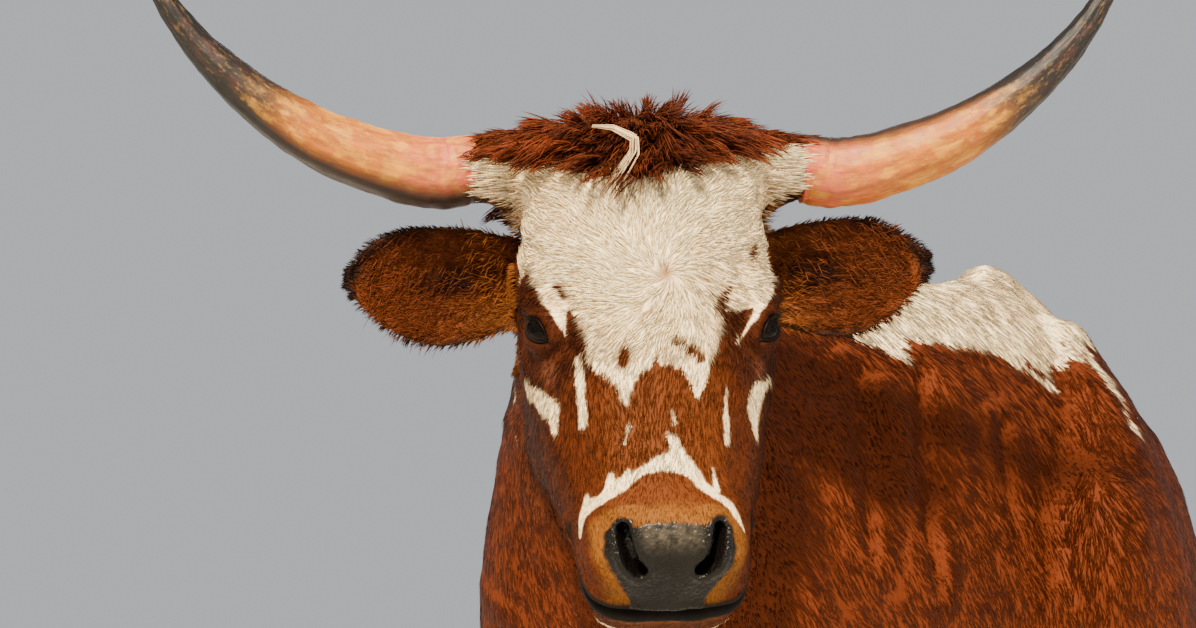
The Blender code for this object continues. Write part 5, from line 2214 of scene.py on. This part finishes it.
            # Each nostril's pit is painted near black: partly its lining, partly painted shade
            gap, _ = self.markings.from_nostril(places.head, side)
            inside = ease(0.0078, 0.0054, gap)
            wet = np.maximum(wet, inside)
            colours = mixed(colours, tint(self.nostril_dark), inside)
        add_values(mesh, COLOUR, "FLOAT_COLOR", colours)
        squeeze = np.array([1.0, 1.0, 0.1])
        grain = mixed(places.body * squeeze, places.head * squeeze, places.headness)
        add_values(mesh, GRAIN, "FLOAT_VECTOR", grain)
        dress(mesh, self.hide, self.leather)
        first = np.zeros(len(mesh.polygons), np.int32)
        mesh.polygons.foreach_get("loop_start", first)
        corner = np.zeros(len(mesh.loops), np.int32)
        mesh.loops.foreach_get("vertex_index", corner)
        bare = (wet[corner[first]] > 0.5).astype(np.int32)
        mesh.polygons.foreach_set("material_index", bare)


# Long hair


@dataclass
class LongHair:
    """The tuft on the poll, the ears' fringes and the tail's switch."""

    stance: Stance
    markings: Markings
    hair: Material
    tuft_strands: int = 8600
    tuft_locks: int = 520
    switch_strands: int = 1300
    curl_strands: int = 26
    collar_strands: int = 2400
    rim_strands: int = 3000
    inner_strands: int = 1100
    switch_locks: int = 13
    # Lengths and widths of strands in metres, most of them as the least and the most
    tuft_length: float = 0.056
    collar_length: Sequence[float] = (0.018, 0.032)
    rim_length: float = 0.0085
    inner_length: float = 0.015
    tuft_width: Sequence[float] = (0.0009, 0.0018)
    collar_width: Sequence[float] = (0.0008, 0.0014)
    fine_width: Sequence[float] = (0.0006, 0.0011)
    switch_width: Sequence[float] = (0.003, 0.0052)
    # Where the switch hangs, and the heights at which its strands start and end
    switch_place: Point = (0, 0.958, 0)
    switch_roots: Sequence[float] = (0.545, 0.7)
    switch_ends: Sequence[float] = (0.272, 0.4)
    curl_spine: Table = metres((
        (-54, 40, 36), (-34, 46, 42), (-15, 46, 53), (-16, 42, 68), (-28, 34, 84), (-40, 24, 98),
    ))
    rim_dark: str = "#1c0f09"
    ear_gold: str = "#7d4619"
    switch_white: str = "#e2d2b8"
    switch_red: str = "#6a3217"
    tuft_dark: str = "#26110a"
    tuft_red: str = "#74351a"

    def bundle(
        self, name: str, lines: Floats, width: Floats, colours: tuple[Floats, Floats], rng: Chance
    ) -> Object:
        """Makes one piece of long hair.

        Args:
            name: The piece's name.
            lines: The lines that its strands follow.
            width: Each strand's width.
            colours: The colours at the roots and at the tips.
            rng: The source of chance.

        Returns:
            The piece.
        """
        count, places, _ = lines.shape
        across = unit(rng.normal(0, 1, (count, 3)))
        profile = np.interp(np.linspace(0, 1, places)[:-1], [0, 0.25, 0.7, 1.0], [0.7, 1.0, 0.8, 0.3])
        flat = Unwrap(self.stance).flat(Places.at(lines[:, 0], self.stance))
        strands = Strands(
            lines, np.repeat(across[:, None], places, axis=1), width, width * 0.45, colours[0],
            colours[1], flat, tuple(profile),
        )
        return strands.mesh(name, self.hair)

    def tuft(self, skin: Object) -> Object:
        """The mop on the poll: it stands up, fans out to the horns and falls over the brow.

        Args:
            skin: The skin.

        Returns:
            The tuft.
        """
        rng = np.random.default_rng(SEED + 1)
        points, normals = places_of(skin.data), normals_of(skin.data)
        head = self.stance.to_head(points)
        line = np.array(self.markings.blaze[:10])
        front = np.interp(head[:, 0], line[:, 0], line[:, 1]) + 0.002
        here = (head[:, 2] < front) & (np.abs(head[:, 0]) < 0.168) & (head[:, 1] > -0.125)
        here &= self.stance.headness(points) > 0.5
        here &= head[:, 2] > -0.09
        roots = rng.choice(np.flatnonzero(here), self.tuft_strands)
        seeds = rng.choice(np.flatnonzero(here), self.tuft_locks)
        seed_way, seed_length = self.tuft_way(head[seeds], normals[seeds], rng)
        root, normal, local = points[roots], normals[roots], head[roots]
        root = root + rng.normal(0, 0.0012, root.shape)
        own = np.empty(len(root), int)
        for start in range(0, len(root), 500):
            gaps = np.linalg.norm(root[start : start + 500, None] - points[seeds][None], axis=2)
            own[start : start + 500] = gaps.argmin(axis=1)
        way, length = self.tuft_way(local, normal, rng)
        length = 0.45 * length + 0.55 * seed_length[own]
        tip = root + way * length[:, None]
        lock_tip = points[seeds][own] + seed_way[own] * length[:, None]
        drawn = rng.uniform(0.45, 0.85, len(root))[:, None]
        way = (tip * (1 - drawn) + lock_tip * drawn) - root
        steps = np.linspace(-0.05, 1, 5)
        lines = root[:, None] + way[:, None] * steps[:, None]
        sag = self.stance.axes() @ np.array([0, -0.1, 0.34])
        curl = unit(rng.normal(0, 1, (self.tuft_locks, 3)))[own] * 0.2
        bend = (sag + curl - normal * 0.12) * length[:, None] * 0.75
        lines = lines + bend[:, None] * (steps**2)[None, :, None]
        mix = np.clip(rng.uniform(0, 1, self.tuft_locks)[own] + rng.normal(0, 0.15, len(root)), 0, 1)
        outward = ease(0.03, 0.13, np.abs(local[:, 0]))
        mix = np.clip(mix * ease(-0.01, 0.07, np.abs(local[:, 0] - 0.02) + 0.02) + 0.25 * outward, 0, 1)
        mix = mix[:, None]
        dark, red = tint(self.tuft_dark), tint(self.tuft_red)
        root_colour = dark * (1 - mix * 0.6) + red * mix * 0.6
        tip_colour = dark * (1 - mix) + red * (0.25 + 0.85 * mix)
        width = rng.uniform(*self.tuft_width, len(root))
        return self.bundle("poll_tuft", lines, width, (root_colour, tip_colour), rng)

    def tuft_way(self, local: Floats, normal: Floats, rng: Chance) -> tuple[Floats, Floats]:
        """How the tuft's strands leave the poll: up in the middle, out and flat at the sides.

        Args:
            local: The roots in the head's axes.
            normal: The skin's normals there.
            rng: The source of chance.

        Returns:
            The ways, and the lengths in metres.
        """
        count = len(local)
        side = np.clip(local[:, 0] / 0.17, -1, 1)
        off = np.abs(side)
        forward = ease(-0.07, 0.0, local[:, 1])
        down = -0.9 * (1 - off) + forward * (1.15 - 0.75 * off)
        way = np.column_stack(
            [
                side * 2.2 + rng.normal(0, 0.26, count),
                0.12 + 0.35 * forward + rng.normal(0, 0.14, count), down + rng.normal(0, 0.2, count),
            ]
        )
        rise = 0.46 * (1 - off) ** 1.5 * (1 - 0.35 * forward) + 0.04
        way = unit(unit(way) @ self.stance.axes().T + normal * rise[:, None])
        length = (self.tuft_length - 0.026 * off) * rng.uniform(0.6, 1.25, count)
        return way, length

    def curl(self) -> Object:
        """The thin white curl that falls from the middle of the tuft.

        Returns:
            The curl.
        """
        rng = np.random.default_rng(SEED + 2)
        spine = np.array(self.curl_spine)
        count = self.curl_strands
        stray = rng.normal(0, 0.0014, (count, 1, 3)) * np.linspace(0.4, 2.6, 6)[None, :, None]
        lines = self.stance.from_head((spine[None] + stray).reshape(-1, 3)).reshape(count, 6, 3)
        white = np.tile(tint(self.markings.white), (count, 1))
        width = rng.uniform(*self.fine_width, count)
        return self.bundle("white_curl", lines, width, (white * 0.85, white), rng)

    def horn_collar(self, skin: Object, side: Side) -> Object:
        """The hair that lies out over the root of a horn.

        Args:
            skin: The skin.
            side: Which side of the animal.

        Returns:
            The collar.
        """
        rng = np.random.default_rng(SEED + 12 + side.value)
        points, normals = places_of(skin.data), normals_of(skin.data)
        head = self.stance.to_head(points)
        reach = head[:, 0] * side.value
        here = (reach > 0.118) & (head[:, 1] > -0.14) & (head[:, 2] < 0.09) & (reach < 0.166)
        here &= Places.at(points, self.stance).ear < 0.5
        chosen = np.flatnonzero(here)
        count = self.collar_strands
        roots = rng.choice(chosen, count)
        root, normal = points[roots], normals[roots]
        low = ease(0.045, 0.08, head[roots, 2])
        out = self.stance.poll_axes()[:, 0] * side.value
        down = self.stance.axes()[:, 2]
        way = out + down * (0.35 * low)[:, None] + rng.normal(0, 0.09, (count, 3))
        sunk = np.minimum(np.einsum("nk,nk->n", way, normal), 0)
        way = unit(way - normal * (sunk - 0.1)[:, None])
        length = rng.uniform(*self.collar_length, count) * (1 - 0.45 * low)
        steps = np.linspace(-0.05, 1, 4)
        lines = straight(root, way, length, steps)
        hug = -normal * (0.1 * length)[:, None]
        lines = lines + hug[:, None] * (steps**2)[None, :, None]
        shade = self.markings.colours(Places.at(root, self.stance))
        shade = mixed(shade, tint(self.markings.cheek_red), low * 0.85)
        shade = shade * np.exp(rng.normal(0, 0.13, count))[:, None]
        width = rng.uniform(*self.collar_width, count)
        name = f"horn_collar_{side.word}"
        return self.bundle(name, lines, width, (shade * 0.9, np.clip(shade * 1.04, 0, 1)), rng)

    def ear_fringe(self, skin: Object, side: Side) -> Object:
        """The long dark hair round an ear's rim and the golden hair inside it.

        Args:
            skin: The skin.
            side: Which side of the animal.

        Returns:
            The fringe.
        """
        rng = np.random.default_rng(SEED + 3 + side.value)
        place = EarPlace(side, self.stance)
        points, normals = places_of(skin.data), normals_of(skin.data)
        local = place.to_ear(points)
        on_ear = Places.at(points, self.stance).ear > 0.5
        on_ear &= np.sign(self.stance.to_head(points)[:, 0]) == side.value
        axes = place.axes()
        facing = normals @ axes[:, 2]
        rim = on_ear & (np.abs(facing) < 0.45) & (local[:, 0] > 0.02)
        inner = on_ear & (facing > 0.5) & (local[:, 0] < 0.17)
        groups = (
            (rim, self.rim_strands, self.rim_length), (inner, self.inner_strands, self.inner_length)
        )
        roots = np.concatenate([rng.choice(np.flatnonzero(g[0]), g[1]) for g in groups])
        length = np.repeat([g[2] for g in groups], [g[1] for g in groups])
        root, normal, spot = points[roots], normals[roots], local[roots]
        count = len(root)
        inside = np.arange(count) >= self.rim_strands
        length = length * rng.uniform(0.6, 1.3, count)
        fan = np.column_stack([0.5 + spot[:, 0] * 3, spot[:, 1] * 16, np.zeros(count)])
        within = int(inside.sum())
        across = rng.normal(0, 0.5, within)
        fan[inside] = np.column_stack([np.full(within, 0.55), across, np.full(within, 0.2)])
        way = unit(unit(fan) @ axes.T + normal * 0.35 + rng.normal(0, 0.14, (count, 3)))
        steps = np.linspace(-0.05, 1, 4)
        lines = straight(root, way, length, steps)
        fall = np.array([0, 0, -0.22]) * length[:, None]
        lines = lines + fall[:, None] * (steps**2)[None, :, None]
        gold, near_root = tint(self.ear_gold), ease(0.1, 0.03, spot[:, 0])
        shade = mixed(tint(self.rim_dark), gold, near_root)
        lit = mixed(tint(self.markings.ear_red), gold, near_root)
        lit = lit * rng.uniform(0.8, 1.45, count)[:, None]
        shade[inside] = lit[inside]
        width = rng.uniform(*self.fine_width, count)
        name = f"ear_fringe_{side.word}"
        return self.bundle(name, lines, width, (shade * 0.85, shade), rng)

    def switch(self) -> Object:
        """The tail's long hair, in waves that part towards their ends.

        Returns:
            The switch.
        """
        rng = np.random.default_rng(SEED + 6)
        count = self.switch_strands
        start = self.stance.body_origin() + np.array(self.switch_place)
        height = rng.uniform(*self.switch_roots, count)
        turn = rng.uniform(0, math.tau, count)
        radial = np.column_stack([np.cos(turn), np.sin(turn), np.zeros(count)])
        root = start + radial * 0.009 + np.array([0, 0, 1.0]) * height[:, None]
        end = rng.uniform(*self.switch_ends, count)
        steps = np.linspace(0, 1, 8)
        lines = np.empty((count, 8, 3))
        lock = np.floor(turn / math.tau * self.switch_locks)
        for k, share in enumerate(steps):
            swell = math.sin(math.pi * min(share * 1.15, 1)) * 0.022 + 0.012 * (1 - share)
            pull = 1 - 0.45 * share
            wave = 0.005 * np.sin(share * 9 + lock * 2.1)
            side = radial * (swell * pull)
            side[:, 0] += wave
            side[:, 1] += 0.004 * np.cos(share * 7 + lock)
            side += rng.normal(0, 0.0016, (count, 3)) * share
            lines[:, k] = root - radial * 0.006 * (share == 0) + side
            lines[:, k, 2] = height + (end - height) * share
        lines[:, 0] = root - radial * 0.007
        mix = rng.uniform(0, 1, count)[:, None]
        white = tint(self.switch_white)
        share_white = ease(0.62, 0.54, height)[:, None] * (mix > 0.25)
        root_colour = mixed(tint(self.switch_red), white * 0.8, share_white)
        tip_colour = white * (0.75 + 0.3 * mix)
        width = rng.uniform(*self.switch_width, count)
        return self.bundle("tail_switch", lines, width, (root_colour, tip_colour), rng)


# Hard parts


@dataclass
class Horn:
    """One long horn: it leaves the head level, sweeps out and up, and thins to its tip."""

    side: Side
    stance: Stance
    sheath: Material
    # Out from the middle, ahead, up and radius, from the poll, in millimetres
    stations: Table = metres((
        (166, -44, -43, 34.5), (176, -44, -43, 35.2), (200, -43, -47, 35.8), (244, -36, -41, 34.5),
        (315, -24, -17.5, 30.6), (379, -10, 20, 24), (430, 2, 64, 17), (467, 11, 110, 11.5),
        (489, 16, 151, 7.2), (500, 18, 188, 2.6),
    ))
    round_count: int = 56

    def build(self) -> Object:
        """Builds the horn with its growth rings near the head and its scuffs.

        Returns:
            The horn.
        """
        rows = curved(self.stations, 16)
        place = rows[:, :3] * np.array([self.side.value, 1, 1])
        way = unit(np.gradient(place, axis=0))
        high = unit(np.cross(np.array([0, 1.0, 0]), way))
        wide = np.cross(way, high)
        turn = turns(self.round_count)
        length = np.concatenate([[0], np.cumsum(lengths(np.diff(place, axis=0)))])
        share = length / length[-1]
        rings, growth = [], []
        for k in range(len(rows)):
            spin = np.outer(np.cos(turn), wide[k]) + np.outer(np.sin(turn), high[k])
            wrinkle = 0.00035 * math.sin(length[k] * 430) * float(ease(0.22, 0.03, share[k]))
            ridges = 0.0004 * np.sin(turn * 11 + share[k] * 5) * float(ease(1.0, 0.7, share[k]))
            spot = place[k] + spin * 0.03
            lumps = 0.0009 * patchy(spot, 0.022, 31) + 0.0005 * patchy(spot, 0.007, 32)
            radius = rows[k, 3] + (wrinkle + ridges + lumps) * min(1.0, rows[k, 3] / 0.012)
            rings.append(place[k] + spin * radius[:, None])
            along = np.full(len(turn), share[k])
            growth.append(np.column_stack([along, np.cos(turn) * 0.8, np.sin(turn) * 0.8]))
        points, faces = lofted(self.stance.from_poll(np.array(rings)))
        if self.side is Side.RIGHT:
            faces = faces[:, ::-1]
        made = mesh_object(f"horn_{self.side.word}_sheath", points, faces, self.sheath)
        ends = [growth[0].mean(axis=0), growth[-1].mean(axis=0)]
        add_values(made.data, "horn_growth", "FLOAT_VECTOR", np.vstack([*growth, ends]))
        return made


@dataclass
class Eye:
    """One eyeball with its long level pupil, the wet edge of its lids and its lashes."""

    socket: EyeSocket
    wet: Material
    lid: Material
    hair: Material
    radius: float = 0.0203
    rim_radius: float = 0.0011
    lashes: int = 46
    lash_black: str = "#120d0a"

    def build(self) -> list[Object]:
        """Builds the eyeball, the lids' edge and the lashes."""
        return [self.eyeball(), self.rim(), self.lash_row()]

    def eyeball(self) -> Object:
        """The ball, with the cornea's bulge.

        Returns:
            The eyeball.
        """
        axes, centre = self.socket.axes(), self.socket.centre()
        made = ball(np.zeros(3), np.eye(3), (1.0, 1.0, 1.0), 6)
        local = places_of(made.data)
        off_axis = np.arccos(np.clip(local[:, 2], -1, 1))
        bulge = 1 + 0.045 * ease(0.75, 0.25, off_axis)
        stretched = np.hypot(local[:, 0] * 0.62, local[:, 1] * 1.55)
        value = np.where(off_axis < math.pi / 2, stretched, 1.0)
        limbus = ease(0.66, 0.8, off_axis)
        from_pupil = np.clip(value * (1 - limbus) * 0.95 + limbus * 0.86, 0, 0.95)
        set_places(made.data, centre + (local * (self.radius * bulge)[:, None]) @ axes.T)
        add_values(made.data, "from_pupil", "FLOAT", from_pupil)
        made.name = made.data.name = f"eyeball_{self.socket.side.word}"
        dress(made.data, self.wet)
        return made

    def edge(self, count: int, radius: float) -> Floats:
        """Places along the opening's edge, at a distance from the eye's middle.

        Args:
            count: How many places.
            radius: How far from the eye's middle.

        Returns:
            Places in the eye's axes.
        """
        turn = turns(count)
        along = self.socket.opening_length * np.cos(turn)
        across = self.socket.edge_height(along) * np.sign(np.sin(turn))
        high = np.sqrt(np.maximum(radius**2 - along**2 - across**2, 1e-6))
        return np.column_stack([along, across, high])

    def rim(self) -> Object:
        """The wet dark edge of both lids, as one closed band.

        Returns:
            The band.
        """
        line = self.edge(96, self.radius + 0.001)
        ahead = unit(np.roll(line, -1, axis=0) - np.roll(line, 1, axis=0))
        out = unit(line)
        aside = np.cross(ahead, out)
        turn = turns(8)[None, :, None]
        spin = np.cos(turn) * out[:, None] + np.sin(turn) * aside[:, None]
        rings = line[:, None] + spin * self.rim_radius
        count, size = rings.shape[:2]
        here = np.arange(size)
        following = (here + 1) % size
        faces = []
        for k in range(count):
            a, b = k * size, (k + 1) % count * size
            faces.append(np.column_stack([a + here, a + following, b + following, b + here]))
        points = self.socket.centre() + rings.reshape(-1, 3) @ self.socket.axes().T
        name = f"lid_edge_{self.socket.side.word}"
        return mesh_object(name, points, np.vstack(faces), self.lid)

    def lash_row(self) -> Object:
        """Long lashes along the upper lid.

        Returns:
            The lashes.
        """
        rng = np.random.default_rng(SEED + 9)
        axes = self.socket.axes()
        upper = 1.0 if axes[2, 1] > 0 else -1.0
        along = np.linspace(-0.8, 0.8, self.lashes) * self.socket.opening_length
        across = self.socket.edge_height(along) * upper
        base = self.radius + 0.0016
        high = np.sqrt(np.maximum(base**2 - along**2 - across**2, 1e-6))
        root = np.column_stack([along, across, high])
        fan = np.column_stack([along * 22, np.full(self.lashes, 0.25 * upper), np.ones(self.lashes)])
        way = unit(fan + rng.normal(0, 0.08, (self.lashes, 3)))
        length = rng.uniform(0.012, 0.018, self.lashes)
        steps = np.linspace(0, 1, 6)
        lines = straight(root, way, length, steps)
        drop = np.array([0, -0.35 * upper, -0.1]) * length[:, None]
        lines = lines + drop[:, None] * (steps * (1 - 0.4 * steps))[None, :, None]
        lines = self.socket.centre() + lines.reshape(-1, 3) @ axes.T
        lines = lines.reshape(self.lashes, 6, 3)
        black = np.tile(tint(self.lash_black), (self.lashes, 1))
        side = np.repeat(np.tile(axes[:, 0], (self.lashes, 1))[:, None], 6, axis=1)
        width = np.full(self.lashes, 0.00055)
        places = Places.at(lines[:, 0], self.socket.stance)
        flat = Unwrap(self.socket.stance).flat(places)
        strands = Strands(lines, side, width, width, black, black, flat, (1, 0.9, 0.8, 0.6, 0.4))
        return strands.mesh(f"lashes_{self.socket.side.word}", self.hair)


@dataclass
class Hoof:
    """One claw of a cloven hoof: rounded wall over a flat sole."""

    name: str
    wall: Material

    def build(self) -> Object:
        """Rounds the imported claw, keeping its sole flat on the floor.

        Returns:
            The claw.
        """
        made = node_copy([self.name])
        made.name = made.data.name = f"{self.name}_wall"
        low, high = (np.array(list(c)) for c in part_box(self.name))
        shape = bmesh.new()
        shape.from_mesh(made.data)
        crease = shape.edges.layers.float.new("crease_edge")
        for edge in shape.edges:
            flat = all(min(abs(v.co.z - low[2]), abs(v.co.z - high[2])) < 2e-4 for v in edge.verts)
            edge[crease] = 0.9 if flat else 0.0
        shape.to_mesh(made.data)
        shape.free()
        smooth = made.modifiers.new("smooth", "SUBSURF")
        smooth.levels = smooth.render_levels = 3
        applied(made)
        points = places_of(made.data)
        lowest, highest = points.min(axis=0), points.max(axis=0)
        points = low + (points - lowest) / (highest - lowest) * (high - low)
        height = points[:, 2] - low[2]
        wall = ease(0.002, 0.008, height) * ease(0.06, 0.05, height)
        ripple = 0.0005 * np.sin(height * 1500 + 2 * patchy(points, 0.02, 41)) * wall
        set_places(made.data, points)
        points = points + normals_of(made.data) * ripple[:, None]
        points[:, 2] = np.maximum(points[:, 2], low[2])
        set_places(made.data, points)
        dress(made.data, self.wall)
        return made


# The studio


@dataclass(frozen=True)
class Studio:
    """A plain pale floor, soft light with one lower warm key, and the photograph's viewpoint."""

    stance: Stance
    # From the poll, in metres: the viewpoint stands low in front, a little to the left
    viewpoint: Point = (0.385, -2.41, -0.55)
    heading: float = math.radians(10.11)
    tilt: float = math.radians(8.22)
    lens: float = 75.0
    floor_size: float = 30.0
    sun_height: float = math.radians(42)
    sun_from_left: float = math.radians(14)
    sun_softness: float = math.radians(7)
    sun_strength: float = 12.8
    sun_shade: str = "#fff0d8"
    fill_power: float = 120.0
    # Where each soft light stands, its side in metres and its colour
    fill: tuple[Point, float, str] = ((5.5, -4.0, 2.5), 4.0, "#e6efff")
    back: tuple[Point, float, str] = ((-2.5, 5.5, 4.5), 3.0, "#ffffff")
    sky: str = "#dcdfe3"
    world_strength: float = 0.72

    def build(self) -> None:
        """Builds the floor, the lights, the world and the camera."""
        self.floor()
        self.sun()
        self.light("fill", *self.fill)
        self.light("back", *self.back)
        world = bpy.data.worlds.new("studio")
        world.use_nodes = True
        shade = world.node_tree.nodes["Background"]
        shade.inputs["Color"].default_value = (*linear(self.sky), 1.0)
        shade.inputs["Strength"].default_value = self.world_strength
        bpy.context.scene.world = world
        data = bpy.data.cameras.new("camera")
        data.lens = self.lens
        data.sensor_width = 36.0
        data.clip_end = 100.0
        camera = in_scene("camera", data)
        camera.location = Vector(self.stance.origin()) + Vector(self.viewpoint)
        camera.rotation_euler = (math.pi / 2 + self.tilt, 0.0, self.heading)
        bpy.context.scene.camera = camera

    def sun(self) -> None:
        """A soft warm key from behind the viewpoint and a little to its left."""
        data = bpy.data.lights.new("key", "SUN")
        data.energy = self.sun_strength
        data.angle = self.sun_softness
        data.color = linear(self.sun_shade)
        turn = self.heading - self.sun_from_left
        in_scene("key", data).rotation_euler = (math.pi / 2 - self.sun_height, 0.0, turn)

    def floor(self) -> None:
        """A plain pale floor."""
        made, tree, shader = fresh_material("studio_floor", {"Roughness": 0.8})
        place = add_node(tree, "TexCoord").outputs["Object"]
        cloud = add_node(tree, "TexNoise", {"Scale": 2.0}, {"Vector": place})
        tone = add_node(tree, "ValToRGB", {}, {"Fac": cloud})
        ramp(tone, [(0.3, "#cfccc6"), (0.7, "#d8d5cf")])
        wire(tree, shader, {"Base Color": tone})
        half = self.floor_size / 2
        points = np.array([(-half, -half, 0), (half, -half, 0), (half, half, 0), (-half, half, 0)])
        floor = mesh_object("floor", points - np.array([0, 0, 0.0005]), np.array([[0, 1, 2, 3]]), made)

    def light(self, name: str, place: Point, size: float, shade: str) -> None:
        """Adds one soft square light aimed at the head.

        Args:
            name: The light's name.
            place: Where it stands.
            size: Its side in metres.
            shade: Its colour.
        """
        data = bpy.data.lights.new(name, "AREA")
        data.shape = "SQUARE"
        data.size = size
        data.energy = self.fill_power
        data.color = linear(shade)
        lamp = in_scene(name, data)
        lamp.location = place
        way = Vector(self.stance.origin()) - Vector(place)
        lamp.rotation_euler = way.to_track_quat("-Z", "Y").to_euler()


# The whole


def attach(piece: Object, slot: str, *nodes: str) -> None:
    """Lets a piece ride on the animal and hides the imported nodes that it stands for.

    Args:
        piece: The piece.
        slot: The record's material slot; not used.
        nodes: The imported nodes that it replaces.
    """
    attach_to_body(piece, "root")
    if nodes:
        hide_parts(*nodes)
    log.info("%s: %d faces", piece.name, len(piece.data.polygons))


def main() -> None:
    """Builds the whole animal and the studio round it."""
    logging.basicConfig(level=logging.INFO, format="%(message)s", stream=sys.stdout)
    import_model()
    stance = Stance()
    Studio(stance).build()
    markings = Markings(stance)
    hide, hair = CowHide().make(), CowHair().make()
    body = Skin(stance, markings, hide, NoseLeather().make())
    skin = body.build()
    attach(skin, "coat", *body.flesh, *body.replaced)
    coat = Coat(stance, markings, Lie(stance), hair, thinner=1.0)
    for piece in coat.grow(skin):
        attach(piece, "coat")
    long_hair = LongHair(stance, markings, hair)
    attach(long_hair.tuft(skin), "coat")
    attach(long_hair.curl(), "coat")
    attach(long_hair.switch(), "coat")
    sheath, wet, lid = HornSheath().make(), WetEye().make(), LidSkin().make()
    for side in Side:
        attach(long_hair.ear_fringe(skin, side), "coat")
        attach(long_hair.horn_collar(skin, side), "coat")
        attach(Horn(side, stance, sheath).build(), "horn", f"horn_{side.word}")
        eyeball, rim, lashes = Eye(EyeSocket(side, stance), wet, lid, hair).build()
        attach(eyeball, "eye", f"eye_{side.word}")
        attach(rim, "coat")
        attach(lashes, "coat")
    wall = HoofWall().make()
    for leg in ("fore", "hind"):
        for side in Side:
            for claw in ("inner", "outer"):
                name = f"hoof_{leg}_{side.word}_{claw}"
                attach(Hoof(name, wall).build(), "hoof", name)
    bpy.context.view_layer.update()


if __name__ == "__main__":
    main()
